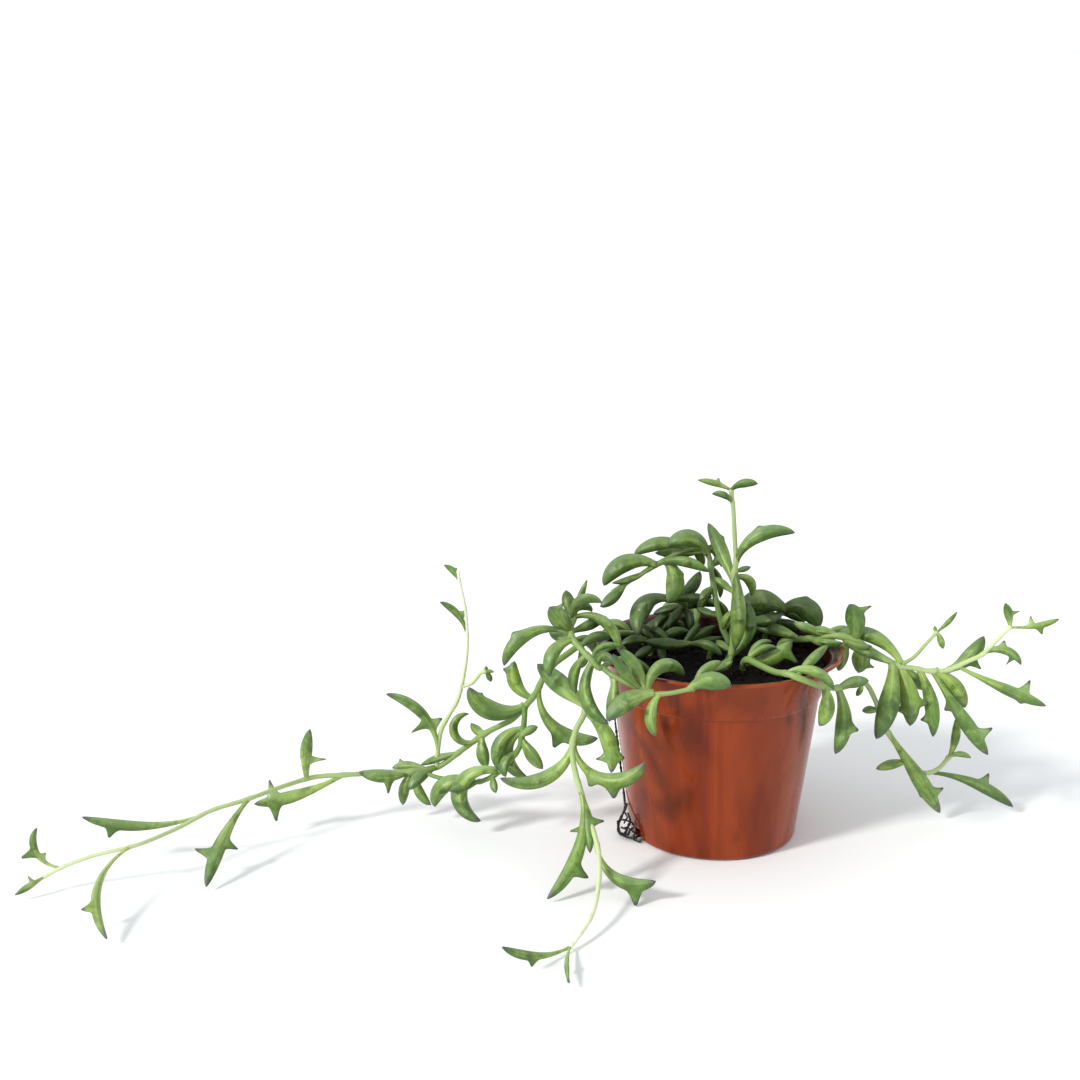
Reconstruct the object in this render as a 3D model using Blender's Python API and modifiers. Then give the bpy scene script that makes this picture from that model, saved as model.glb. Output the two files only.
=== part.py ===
"""Potted string of dolphins: trailing succulent stems with dolphin-shaped leaves in a round nursery pot.

Metres in the file, millimetres in the named sizes. +Z is up, +X is to the right and -Y is towards the viewer.
The origin is the middle of the pot's bottom, on the surface that the pot stands on.
Every leafy stem follows places read by eye in one view of the plant, each with its depth behind the pot's
axis.
"""

import math
from collections import namedtuple

import bmesh
import bpy
import numpy as np
from mathutils import Quaternion, Vector

MM = 0.001
COLLECTION_NAME = "potted_string_of_dolphins"
GAP = 0.3
WELD = 0.005
FLAT_ANGLE = math.radians(0.5)
SHARP_ANGLE = math.radians(35)

# Pot, in millimetres
POT_HEIGHT = 82.0
POT_RIM_RADIUS = 52.5
POT_BASE_RADIUS = 35.5
POT_NECK_RADIUS = 43.7
POT_WALL = 1.1
POT_FLOOR = 2.2
COLLAR_HEIGHT = 17.5
COLLAR_STEP = 0.9
COLLAR_UNDERCUT = 0.5
COLLAR_TOP_RADIUS = 48.0
LIP_HEIGHT = 3.4
LIP_EDGE = 1.0
LIP_CURVE_STEPS = 3
FOOT_ROUND = 1.2
POT_STEPS = 40
DRAIN_HOLES = 7
DRAIN_HOLE_RADIUS = 2.6
DRAIN_HOLE_CIRCLE = 30.0
DRAIN_HOLE_SIDES = 10
ROOT_HOLE_ANGLE = math.radians(203)
ROOT_HOLE_CIRCLE = 33.5
ROOT_HOLE_RADIUS = 3.4
DRAIN_CUT_HEIGHT = 5.2
CUT_MARGIN = 1.0

# Soil, in millimetres
SOIL_TOP = 74.0
SOIL_RINGS = 5
SOIL_RELIEF = 0.7
SOIL_EDGE_DROP = 1.0
SOIL_WAVES = ((3.2, 3.7), (5.0, 1.9))
SHORT_WAVE_SHARE = 0.6
HOLE_DEPTH = 9.0
HOLE_SIDES = 10
HOLE_CUT_RISE = 5.0

# Dry roots, in millimetres
DRY_ROOT_RADIUS = 0.6
DRY_ROOT_SPACING = 2.5
DRY_ROOT_INSET = 1.5
DRY_ROOT_WAY_OUT = (1.0, 1.3)
DRY_THREAD_RADIUS = 0.4
DRY_THREAD_ANGLE = math.radians(177)
DRY_THREAD_GAP = 0.45
DRY_THREAD_HEIGHTS = (17.0, 23.0, 30.0, 38.0, 46.0, 53.0)
DRY_THREAD_SPACING = 7.0

# Stems, in millimetres; a stem's first place lies this high above the soil
STEM_SPACING = 10.5
STEM_RISE = 2.0
STEM_SPOTS = 6

# Leaves, in millimetres and in shares of a leaf's length or width
SMALL_LEAF = 10.0
FINNED_LEAF = 21.0
STALK_HALF = 0.6
THINNEST_HALF = 0.42
WIDTH_GAIN = 1.12
THICKNESS_SHARE = 0.55
TURNED_SHARE = 0.8
MIDDLE_BACK = 0.55
FIN_START = 4.2
FIN_END = 2.5
FIN_START_SHARE = 0.13
FIN_END_SHARE = 0.08
FIN_PLACES = (0.4, 0.45, 0.5, 0.55, 0.6, 0.65, 0.7, 0.75, 0.8)
DEFAULT_FIN_PLACE = 0.6
DEFAULT_FIN_REACH = 1.6
NEAR_STATION = 0.04
HEADING_STEP = 0.02
STRAIGHT = 0.01
SMALL_STATIONS = {0.0, 0.3, 0.6}
LARGE_STATIONS = {0.0, 0.9}
FINLESS_STATIONS = {0.4, 0.65}
FACING_STATIONS = {0.2}

# A leaf's outline: the stalk's and the bulge's shares of the half width, and how the bulge leans to the tip.
# A leaf is slim if it faces the viewer and is this many times as long as half its width.
SLIM_LENGTH = 10.5
SLIM_BLADE = (0.34, 0.95, 1.8)
FULL_BLADE = (0.42, 0.93, 1.35)
TIP_FULLNESS = 0.6

# How far a leaf's tip may be bent forward or back in the order tried, and the room that ends the search
BENDS = (0.0, -5.0, 5.0, -10.0, 10.0, -15.0, 15.0, -21.0, 21.0)
LEAF_CLEARANCE = 0.55
TIP_RADIUS = 0.3
STEM_CHECKS = 4
SPOTS_ACROSS = (0.0, 0.45, 0.9)
SPOTS_ALONG = (0.0, 0.33, 0.67)
EDGE_THINNING = 0.8
NEIGHBOUR_REACH = 8.0

# The view that the places were read in: pixels of a square image, looking along +Y and down
EYE = Vector((-74.5, -620.0, 278.0))
LOOK_DOWN = math.radians(13.64)
FOCAL_PIXELS = 1540.0
IMAGE_MIDDLE = 540.0

# Looks of the solids: colour and roughness
TERRACOTTA_PLASTIC = ((0.30, 0.06, 0.02), 0.25)
DARK_SOIL = ((0.02, 0.013, 0.01), 0.95)
DRY_ROOT = ((0.05, 0.03, 0.02), 0.85)
SUCCULENT_LEAF = ((0.11, 0.25, 0.06), 0.45)

# A shoot stands in the soil at root (x, y in mm) and has stems and leaves. A stem is its thickest and
# thinnest radius in mm and its places (pixel right, pixel down, mm behind the pot's axis). A leaf is the
# root, middle and tip of its midline in pixels, its width in pixels, how many mm its tip lies behind its
# root, and its fins' tips in pixels.
Shoot = namedtuple("Shoot", "root stems leaves")
Stem = namedtuple("Stem", "thick thin places")
Leaf = namedtuple("Leaf", "root middle tip width back fins")
LeafForm = namedtuple("LeafForm", "root middle tip half length fins turned")

LONG_RUNNER = Shoot(
    root=(-30, 26),
    stems=[
        Stem(1.5, 0.75, [
            (630, 634, 16), (606, 634, 5), (594, 636, 0), (570, 652, -6), (548, 670, -10), (535, 694, -9),
            (515, 717, -7), (486, 733, -2), (462, 750, 2), (440, 766, 6), (420, 771, 5), (393, 772, 3),
            (343, 775, -1), (315, 777, -3), (290, 784, -10), (245, 800, -25), (210, 811, -32),
            (182, 826, -40), (153, 839, -51), (130, 847, -57), (96, 855, -59), (65, 866, -62),
            (44, 877, -64)]),
        Stem(1.2, 0.9, [
            (527, 706, -8), (524, 723, -14), (522, 735, -17), (518, 750, -18), (501, 770, -16),
            (485, 780, -12), (470, 782, -8), (440, 778, -3), (421, 771, 5)]),
        Stem(1.05, 0.7, [
            (436, 765, 6), (441, 731, 6), (458, 699, 4), (464, 674, 2), (467, 647, 0), (466, 616, 0),
            (463, 598, -1), (460, 585, -2), (458, 571, -3)]),
        Stem(0.9, 0.7, [(463, 688, 3), (472, 683, 2), (481, 673, 0), (486, 671, -1)])],
    leaves=[
        Leaf((44, 877), (31, 885), (15, 895), 6, -7, [(32, 875)]),
        Leaf((60, 866), (37, 854), (37, 828), 7, -2, [(22, 856), (46, 862)]),
        Leaf((128, 851), (97, 890), (107, 939), 9, -45, [(82, 908)]),
        Leaf((203, 815), (142, 826), (82, 817), 10, -7, [(108, 837)]),
        Leaf((252, 804), (222, 841), (206, 887), 13, -39, [(195, 850), (238, 849)]),
        Leaf((345, 778), (300, 794), (254, 804), 12, -10, [(276, 821), (266, 781)]),
        Leaf((305, 778), (306, 755), (310, 729), 11, 1, [(324, 767)]),
        Leaf((411, 774), (386, 776), (359, 772), 12, -6, [(390, 793)]),
        Leaf((425, 769), (409, 766), (392, 768), 9, 6, [(399, 759)]),
        Leaf((411, 771), (405, 788), (403, 805), 11, 1, []),
        Leaf((416, 772), (419, 790), (431, 805), 10, -4, []),
        Leaf((436, 771), (420, 777), (409, 790), 13, -9, []),
        Leaf((472, 781), (446, 785), (435, 807), 16, 3, []),
        Leaf((497, 768), (463, 783), (481, 821), 17, 4, []),
        Leaf((458, 756), (440, 758), (421, 765), 8, 5, []),
        Leaf((480, 781), (463, 787), (449, 791), 10, -7, []),
        Leaf((494, 777), (494, 785), (496, 793), 8, -6, []),
        Leaf((434, 757), (424, 716), (386, 694), 10, -4, [(412, 733), (441, 733)]),
        Leaf((528, 706), (498, 712), (469, 687), 18, -3, [(483, 694)]),
        Leaf((477, 739), (453, 727), (469, 714), 9, 3, []),
        Leaf((482, 738), (483, 752), (487, 768), 13, -5, []),
        Leaf((515, 727), (499, 746), (502, 771), 13, -4, []),
        Leaf((513, 730), (508, 756), (528, 778), 13, 5, []),
        Leaf((521, 738), (531, 753), (543, 769), 13, -6, []),
        Leaf((488, 737), (479, 732), (471, 723), 9, 5, []),
        Leaf((524, 738), (529, 730), (538, 727), 9, -4, []),
        Leaf((513, 752), (505, 763), (506, 777), 10, -6, []),
        Leaf((545, 688), (556, 729), (598, 738), 14, -7, [(552, 746)]),
        Leaf((529, 698), (515, 682), (515, 661), 13, 3, [(503, 669)]),
        Leaf((552, 668), (563, 684), (580, 694), 12, 6, []),
        Leaf((460, 583), (455, 573), (444, 565), 6, -1, [(457, 568)]),
        Leaf((464, 636), (458, 615), (440, 602), 7, -2, [(467, 611)]),
        Leaf((486, 671), (486, 669), (486, 666), 4, 0, []),
        Leaf((484, 671), (489, 671), (494, 672), 4, -2, []),
        Leaf((485, 672), (489, 676), (491, 682), 6, 2, []),
        Leaf((634, 631), (619, 624), (602, 625), 8, 2, []),
    ])

FRONT_TRAILER = Shoot(
    root=(-38, 2),
    stems=[
        Stem(1.5, 0.8, [
            (618, 646, -4), (605, 650, -16), (594, 660, -27), (588, 680, -33), (585, 711, -37),
            (576, 730, -39), (572, 751, -41), (576, 775, -44), (581, 792, -47), (586, 811, -51),
            (594, 833, -58), (599, 856, -66), (599, 881, -76), (595, 906, -89), (589, 921, -97),
            (579, 936, -105), (570, 947, -110)])],
    leaves=[
        Leaf((571, 739), (547, 778), (500, 778), 15, -3, []),
        Leaf((575, 744), (602, 779), (645, 762), 15, -12, [(584, 779), (613, 798)]),
        Leaf((587, 710), (608, 739), (611, 773), 15, -10, [(597, 764), (622, 766)]),
        Leaf((577, 785), (580, 845), (547, 899), 13, -22, [(588, 878)]),
        Leaf((582, 795), (588, 825), (590, 853), 11, -14, [(570, 831), (604, 821)]),
        Leaf((597, 845), (616, 878), (656, 881), 13, 3, [(637, 905)]),
        Leaf((568, 948), (536, 956), (502, 947), 9, -1, [(530, 966)]),
        Leaf((568, 948), (567, 965), (569, 983), 5, -23, []),
        Leaf((587, 708), (563, 688), (537, 664), 20, -5, []),
    ])

LEFT_RIM_SHOOT = Shoot(
    root=(-30, -18),
    stems=[
        Stem(1.35, 1.0, [
            (634, 660, -26), (622, 659, -33), (610, 662, -40), (600, 668, -44), (592, 660, -43),
            (582, 650, -40), (571, 635, -34), (574, 614, -28)]),
        Stem(1.15, 0.9, [
            (602, 667, -43), (612, 675, -46), (625, 682, -49), (640, 689, -51), (650, 694, -52),
            (671, 693, -55), (694, 688, -56)])],
    leaves=[
        Leaf((571, 634), (530, 633), (504, 666), 13, -4, [(513, 632)]),
        Leaf((571, 637), (560, 638), (549, 632), 9, 6, []),
        Leaf((574, 620), (579, 600), (587, 580), 7, 3, []),
        Leaf((574, 618), (568, 603), (566, 590), 13, 6, []),
        Leaf((576, 617), (604, 621), (619, 653), 11, -9, []),
        Leaf((573, 632), (561, 620), (549, 607), 18, -4, [(560, 600)]),
        Leaf((576, 620), (588, 598), (602, 603), 11, -3, []),
        Leaf((573, 630), (590, 624), (606, 616), 11, 6, []),
        Leaf((574, 640), (588, 640), (594, 654), 11, 8, []),
        Leaf((580, 648), (594, 637), (612, 638), 11, 6, []),
        Leaf((572, 642), (553, 654), (550, 677), 14, -9, []),
        Leaf((577, 643), (583, 656), (576, 668), 9, 5, []),
        Leaf((594, 657), (603, 646), (621, 647), 7, -5, []),
        Leaf((600, 666), (606, 656), (615, 664), 9, -10, []),
        Leaf((592, 663), (586, 694), (609, 724), 14, -7, []),
        Leaf((613, 676), (614, 698), (609, 722), 13, -6, []),
        Leaf((586, 655), (575, 672), (576, 693), 11, 3, []),
        Leaf((649, 692), (661, 666), (684, 677), 14, 10, []),
        Leaf((645, 691), (635, 668), (619, 649), 14, 6, []),
        Leaf((640, 689), (624, 673), (613, 654), 11, -6, []),
        Leaf((695, 687), (704, 671), (722, 662), 11, 6, []),
        Leaf((692, 690), (713, 680), (731, 687), 19, -3, []),
        Leaf((652, 696), (627, 702), (607, 721), 20, -8, []),
        Leaf((662, 696), (651, 715), (656, 736), 12, -6, []),
        Leaf((586, 655), (582, 664), (572, 666), 8, 4, []),
        Leaf((575, 612), (584, 606), (592, 612), 8, 5, []),
    ])

UPRIGHT_SHOOT = Shoot(
    root=(4, -4),
    stems=[
        Stem(1.35, 0.85, [
            (731, 655, -4), (733, 640, -4), (735, 610, -4), (734, 577, -3), (736, 562, -2), (735, 542, 0),
            (734, 521, 1), (733, 506, 2), (731, 490, 3)])],
    leaves=[
        Leaf((729, 490), (714, 483), (698, 480), 6, 3, [(719, 478)]),
        Leaf((733, 491), (743, 483), (758, 484), 9, -3, []),
        Leaf((731, 503), (723, 495), (712, 494), 7, -4, []),
        Leaf((738, 561), (760, 535), (795, 533), 13, -4, [(758, 526)]),
        Leaf((737, 572), (743, 569), (751, 567), 6, 4, []),
        Leaf((736, 576), (750, 581), (751, 596), 10, 8, []),
        Leaf((736, 571), (739, 607), (735, 650), 16, -9, []),
        Leaf((735, 655), (748, 632), (746, 602), 13, 4, []),
        Leaf((734, 592), (724, 585), (714, 577), 8, 6, []),
        Leaf((733, 580), (720, 548), (708, 523), 13, 20, [(724, 537)]),
        Leaf((733, 655), (726, 665), (714, 671), 10, -5, []),
        Leaf((733, 640), (742, 634), (748, 624), 9, 6, []),
        Leaf((733, 650), (722, 646), (716, 640), 9, 6, []),
        Leaf((735, 612), (727, 618), (723, 630), 8, 8, []),
    ])

ARCHING_SHOOT = Shoot(
    root=(-2, 6),
    stems=[
        Stem(1.3, 0.9, [
            (728, 646, 3), (723, 629, 5), (718, 610, 7), (714, 590, 9), (711, 570, 10), (709, 557, 11),
            (702, 549, 11), (690, 548, 11), (665, 560, 10), (646, 571, 8), (628, 582, 5), (612, 592, 2)])],
    leaves=[
        Leaf((709, 552), (692, 539), (668, 547), 17, -3, []),
        Leaf((690, 549), (660, 544), (634, 555), 14, 2, []),
        Leaf((704, 551), (680, 553), (655, 553), 11, 6, []),
        Leaf((655, 560), (684, 561), (709, 572), 11, -8, []),
        Leaf((655, 566), (628, 563), (604, 586), 18, -4, []),
        Leaf((652, 572), (634, 578), (612, 583), 7, -6, []),
        Leaf((628, 585), (614, 597), (600, 607), 12, -5, []),
        Leaf((664, 559), (675, 579), (667, 603), 17, -5, [(684, 575)]),
        Leaf((713, 586), (706, 593), (700, 601), 8, -5, []),
        Leaf((712, 566), (720, 556), (722, 542), 11, 6, []),
        Leaf((716, 600), (724, 610), (727, 624), 9, 6, []),
        Leaf((719, 618), (708, 613), (696, 608), 8, 5, []),
        Leaf((712, 565), (719, 579), (720, 598), 8, 9, []),
        Leaf((722, 630), (730, 622), (734, 612), 8, 8, []),
        Leaf((713, 590), (704, 600), (700, 612), 9, 6, []),
        Leaf((690, 548), (700, 556), (703, 566), 9, 6, []),
        Leaf((704, 549), (717, 550), (721, 567), 13, -5, []),
    ])

BACK_LEFT_SHOOT = Shoot(
    root=(-18, 32),
    stems=[
        Stem(1.4, 1.0, [
            (667, 622, 32), (680, 611, 30), (684, 604, 26), (675, 600, 22), (662, 598, 18), (648, 602, 15)])],
    leaves=[
        Leaf((674, 600), (690, 588), (700, 571), 13, 5, []),
        Leaf((668, 600), (641, 610), (639, 636), 18, -5, []),
        Leaf((660, 611), (645, 614), (636, 629), 9, -7, []),
        Leaf((675, 601), (693, 598), (715, 606), 12, -5, []),
        Leaf((682, 606), (690, 617), (689, 631), 9, -5, []),
        Leaf((682, 608), (698, 603), (712, 596), 9, 2, []),
        Leaf((672, 618), (657, 624), (642, 634), 11, -4, []),
        Leaf((670, 620), (684, 626), (700, 628), 10, 5, []),
        Leaf((666, 624), (650, 630), (632, 628), 10, 3, []),
        Leaf((684, 606), (676, 616), (668, 628), 10, -3, []),
        Leaf((668, 612), (660, 620), (656, 632), 9, -6, []),
        Leaf((684, 605), (670, 609), (653, 614), 9, 4, []),
        Leaf((683, 606), (704, 602), (724, 606), 9, 7, []),
        Leaf((680, 612), (667, 624), (650, 636), 9, -3, []),
        Leaf((676, 615), (689, 623), (694, 636), 8, -4, []),
    ])

CENTRE_SHOOT = Shoot(
    root=(-27, 10),
    stems=[
        Stem(1.3, 1.0, [(653, 644, 9), (666, 641, 5), (680, 643, 2), (690, 644, 0)])],
    leaves=[
        Leaf((694, 645), (672, 645), (645, 641), 12, -5, []),
        Leaf((672, 646), (697, 643), (723, 637), 11, 3, []),
        Leaf((653, 642), (637, 640), (620, 646), 10, 2, []),
        Leaf((664, 643), (662, 652), (664, 661), 9, -7, []),
        Leaf((690, 644), (708, 645), (722, 655), 10, -3, []),
        Leaf((660, 642), (672, 633), (690, 633), 11, 6, []),
        Leaf((656, 642), (648, 632), (636, 626), 10, 6, []),
        Leaf((653, 644), (645, 652), (634, 657), 10, -6, []),
        Leaf((682, 643), (700, 634), (716, 626), 10, 8, []),
        Leaf((684, 643), (692, 633), (700, 623), 8, 5, []),
        Leaf((668, 641), (660, 633), (649, 628), 8, 5, []),
    ])

RIGHT_CROWN = Shoot(
    root=(24, 26),
    stems=[
        Stem(1.4, 1.0, [(768, 628, 26), (775, 617, 25), (785, 610, 23)])],
    leaves=[
        Leaf((787, 609), (764, 602), (740, 606), 23, -4, []),
        Leaf((784, 611), (769, 620), (748, 621), 13, -8, []),
        Leaf((785, 613), (805, 608), (816, 629), 20, -6, [(806, 596)]),
        Leaf((773, 622), (788, 624), (803, 630), 11, -6, []),
        Leaf((780, 613), (793, 615), (805, 622), 9, 6, []),
        Leaf((770, 625), (759, 629), (748, 637), 11, -8, []),
        Leaf((768, 628), (755, 622), (745, 612), 10, 8, []),
        Leaf((771, 624), (762, 631), (750, 633), 10, 3, []),
        Leaf((776, 616), (763, 612), (748, 614), 10, 8, []),
    ])

RIGHT_RUNNER = Shoot(
    root=(30, 20),
    stems=[
        Stem(1.45, 0.85, [
            (792, 640, 17), (806, 639, 12), (822, 637, 6), (838, 636, 2), (855, 640, 1), (880, 655, 0),
            (899, 666, -2),
            (914, 668, -3), (929, 671, -4), (948, 670, -5), (966, 662, -6), (983, 654, -6), (997, 640, -6),
            (1010, 627, -6)]),
        Stem(0.85, 0.65, [(899, 666, -2), (914, 657, -3), (925, 645, -4), (937, 632, -5)])],
    leaves=[
        Leaf((856, 643), (856, 623), (849, 604), 18, -4, [(871, 606)]),
        Leaf((800, 639), (779, 631), (754, 629), 12, 8, []),
        Leaf((826, 636), (811, 630), (793, 623), 10, 4, []),
        Leaf((838, 637), (824, 631), (806, 633), 9, 6, []),
        Leaf((810, 639), (826, 643), (843, 643), 9, -4, []),
        Leaf((822, 637), (838, 630), (857, 634), 10, 3, []),
        Leaf((842, 637), (856, 645), (872, 646), 9, -4, []),
        Leaf((900, 664), (880, 641), (836, 634), 15, 8, []),
        Leaf((897, 666), (873, 655), (846, 645), 10, 2, []),
        Leaf((937, 632), (948, 622), (957, 612), 5, 2, []),
        Leaf((937, 632), (941, 640), (943, 649), 7, -4, []),
        Leaf((937, 631), (935, 629), (935, 626), 4, 1, []),
        Leaf((892, 667), (889, 703), (876, 739), 19, -12, [(899, 708)]),
        Leaf((857, 644), (861, 658), (858, 673), 17, 8, [(874, 667)]),
        Leaf((846, 641), (843, 657), (838, 671), 12, 8, []),
        Leaf((899, 670), (909, 695), (910, 726), 18, -9, [(897, 711), (928, 701)]),
        Leaf((920, 668), (930, 698), (933, 737), 13, -6, [(921, 721)]),
        Leaf((950, 673), (967, 659), (984, 636), 14, 4, [(980, 669)]),
        Leaf((934, 673), (953, 685), (965, 708), 18, 2, []),
        Leaf((933, 674), (960, 714), (988, 755), 14, -9, [(992, 728), (945, 711)]),
        Leaf((958, 670), (1003, 688), (1046, 706), 11, -4, [(1029, 680), (1019, 703)]),
        Leaf((901, 668), (914, 678), (927, 690), 13, 5, []),
        Leaf((1010, 628), (1009, 616), (1005, 603), 8, 2, [(1019, 611)]),
        Leaf((1011, 629), (1036, 626), (1059, 619), 6, -4, [(1032, 616), (1043, 634)]),
        Leaf((984, 653), (1004, 650), (1021, 665), 8, -3, [(1006, 641), (1006, 665)]),
    ])

RIGHT_LOWER_SHOOT = Shoot(
    root=(10, -9),
    stems=[
        Stem(1.4, 0.95, [
            (748, 660, -16), (759, 665, -26), (775, 672, -39), (788, 674, -47), (804, 680, -49),
            (821, 686, -43), (838, 688, -34), (855, 684, -26), (866, 684, -18), (876, 702, -9),
            (885, 728, -4), (899, 748, 0), (914, 768, 3), (927, 773, 4), (939, 768, 4), (949, 757, 4)])],
    leaves=[
        Leaf((744, 657), (760, 650), (777, 648), 9, 4, []),
        Leaf((745, 660), (771, 658), (792, 641), 15, 5, [(799, 663)]),
        Leaf((786, 675), (811, 670), (834, 690), 11, -4, []),
        Leaf((824, 687), (828, 706), (819, 726), 16, -4, []),
        Leaf((837, 688), (844, 720), (835, 754), 15, -7, [(858, 731)]),
        Leaf((797, 676), (813, 658), (828, 645), 10, 8, []),
        Leaf((746, 658), (758, 645), (772, 642), 8, 9, []),
        Leaf((877, 711), (870, 710), (862, 711), 8, -3, []),
        Leaf((863, 687), (860, 691), (856, 696), 6, 3, []),
        Leaf((887, 732), (914, 771), (940, 813), 15, 8, [(944, 789), (919, 795)]),
        Leaf((905, 764), (891, 765), (876, 769), 10, -5, []),
        Leaf((951, 757), (955, 738), (956, 718), 9, 3, []),
        Leaf((952, 757), (962, 754), (971, 758), 6, -3, []),
        Leaf((930, 774), (974, 783), (1013, 807), 11, 7, [(988, 773)]),
        Leaf((838, 686), (852, 682), (869, 681), 12, 4, []),
    ])

BACK_SHOOT_LEFT = Shoot(
    root=(-7, 37),
    stems=[
        Stem(1.6, 1.1, [
            (697, 614, 44), (690, 602, 50), (684, 601, 57), (680, 622, 64), (678, 655, 66), (676, 690, 64)])],
    leaves=[
        Leaf((685, 602), (672, 606), (664, 622), 13, 8, []),
        Leaf((683, 606), (696, 612), (704, 630), 13, 9, []),
        Leaf((681, 616), (672, 632), (660, 642), 12, 6, []),
        Leaf((680, 632), (694, 640), (698, 662), 12, 10, []),
        Leaf((679, 650), (668, 662), (664, 680), 11, 8, []),
        Leaf((677, 680), (684, 694), (680, 714), 10, 4, []),
    ])

BACK_SHOOT_RIGHT = Shoot(
    root=(11, 36),
    stems=[
        Stem(1.6, 1.1, [
            (738, 612, 44), (746, 602, 50), (752, 602, 57), (757, 622, 64), (759, 660, 66), (758, 700, 63),
            (754, 735, 58)])],
    leaves=[
        Leaf((750, 602), (760, 608), (772, 624), 13, 9, []),
        Leaf((754, 608), (744, 614), (738, 632), 13, 8, []),
        Leaf((757, 622), (768, 634), (778, 648), 12, 6, []),
        Leaf((758, 640), (748, 652), (742, 672), 12, 9, []),
        Leaf((759, 662), (770, 676), (772, 698), 11, 6, []),
        Leaf((758, 698), (748, 712), (746, 730), 11, 5, []),
        Leaf((755, 732), (760, 746), (756, 760), 9, 3, []),
    ])

DRY_ROOT_LOOP = [
    (636, 838.5, -17), (624, 836, -12), (618, 830, -9), (620, 820, -6), (624, 811, -5), (625, 804, -4)]
DRY_ROOT_BRANCH = [(627, 829, -12), (630, 821, -12), (628, 813, -9)]

PLANT = {
    "left_rim_shoot": LEFT_RIM_SHOOT,
    "front_trailer": FRONT_TRAILER,
    "long_runner": LONG_RUNNER,
    "upright_shoot": UPRIGHT_SHOOT,
    "right_lower_shoot": RIGHT_LOWER_SHOOT,
    "right_runner": RIGHT_RUNNER,
    "arching_shoot": ARCHING_SHOOT,
    "centre_shoot": CENTRE_SHOOT,
    "right_crown": RIGHT_CROWN,
    "back_left_shoot": BACK_LEFT_SHOOT,
    "back_shoot_left": BACK_SHOOT_LEFT,
    "back_shoot_right": BACK_SHOOT_RIGHT,
}


# Places in the view

def seen(right, down, behind):
    """The point at a pixel of the view that lies the given depth behind the pot's axis."""
    across = (right - IMAGE_MIDDLE) / FOCAL_PIXELS
    up = (IMAGE_MIDDLE - down) / FOCAL_PIXELS
    sine = math.sin(LOOK_DOWN)
    cosine = math.cos(LOOK_DOWN)
    ray = Vector((across, cosine + up * sine, up * cosine - sine))
    return EYE + ray * ((behind - EYE.y) / ray.y)


def pixel_of(point):
    """The pixel at which a point is seen."""
    offset = point - EYE
    sine = math.sin(LOOK_DOWN)
    cosine = math.cos(LOOK_DOWN)
    depth = offset.y * cosine - offset.z * sine
    up = offset.y * sine + offset.z * cosine
    return Vector((IMAGE_MIDDLE + FOCAL_PIXELS * offset.x / depth, IMAGE_MIDDLE - FOCAL_PIXELS * up / depth))


def size_of_pixel(point):
    """How many millimetres a pixel spans at a point."""
    offset = point - EYE
    return (offset.y * math.cos(LOOK_DOWN) - offset.z * math.sin(LOOK_DOWN)) / FOCAL_PIXELS


# Stems

def smooth_path(points, spacing):
    """Points at about the given spacing on a smooth curve through the given ones."""
    path = []
    last = len(points) - 1
    for index in range(last):
        start, end = points[index], points[index + 1]
        before = points[index - 1] if index else start * 2 - end
        after = points[index + 2] if index + 2 <= last else end * 2 - start
        count = max(1, round((end - start).length / spacing))
        for step in range(count):
            t = step / count
            path.append(0.5 * (2 * start + (end - before) * t
                               + (2 * before - 5 * start + 4 * end - after) * t ** 2
                               + (3 * start - before - 3 * end + after) * t ** 3))
    path.append(points[-1].copy())
    return path


def nearest_place(paths, pixel):
    """The point of the given stem paths that is seen nearest to a pixel."""
    spots = [start.lerp(end, step / STEM_SPOTS)
             for path, _ in paths
             for start, end in zip(path, path[1:])
             for step in range(STEM_SPOTS + 1)]
    return min(spots, key=lambda spot: (pixel_of(spot) - Vector(pixel)).length)


def stem_paths(shoot):
    """The path and radii of each stem: the first from its hole's bottom, the others from a stem before."""
    paths = []
    for stem in shoot.stems:
        places = [seen(*place) for place in stem.places]
        buried = []
        if paths:
            places[0] = nearest_place(paths, stem.places[0][:2])
        else:
            top = Vector((*shoot.root, SOIL_TOP + STEM_RISE))
            buried = [top - Vector((0, 0, STEM_RISE + HOLE_DEPTH - GAP))]
            places.insert(0, top)
        path = buried + smooth_path(places, STEM_SPACING)
        ends = len(path) - 1
        radii = [stem.thick + (stem.thin - stem.thick) * index / ends for index in range(len(path))]
        paths.append((path, radii))
    return paths


# Leaves

def blade(along, slim):
    """Half the width of a leaf at a share of its length, as a share of its greatest."""
    stalk, bulge, lean = SLIM_BLADE if slim else FULL_BLADE
    leant = along ** lean
    swell = math.sin(math.pi * leant)
    if leant > 0.5:
        swell = max(0.0, swell) ** TIP_FULLNESS
    return stalk * (1 - along) + bulge * swell


def bow(root, middle, tip, along):
    """The point at a share of the round arc that runs from root to tip through middle."""
    first = middle - root
    chord = tip - root
    normal = first.cross(chord)
    if normal.length < STRAIGHT * first.length * chord.length:
        return root.lerp(tip, along)
    centre = root + ((chord * first.length_squared - first * chord.length_squared).cross(normal)
                     / (2 * normal.length_squared))
    turn = 2 * (math.pi - (root - middle).angle(tip - middle))
    return centre + Quaternion(normal, turn * along) @ (root - centre)


def seen_fins(leaf, root, middle, tip, scale):
    """Where along a leaf each fin that is seen stands, on which side, and how far its tip reaches out."""
    fins = []
    for fin in leaf.fins:
        place = min(FIN_PLACES, key=lambda at: (pixel_of(bow(root, middle, tip, at)) - Vector(fin)).length)
        spine = pixel_of(bow(root, middle, tip, place))
        heading = pixel_of(bow(root, middle, tip, place + HEADING_STEP)) - spine
        offset = Vector(fin) - spine
        side = 1 if heading.x * offset.y - heading.y * offset.x > 0 else -1
        fins.append((place, side, offset.length * scale))
    return fins


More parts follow.
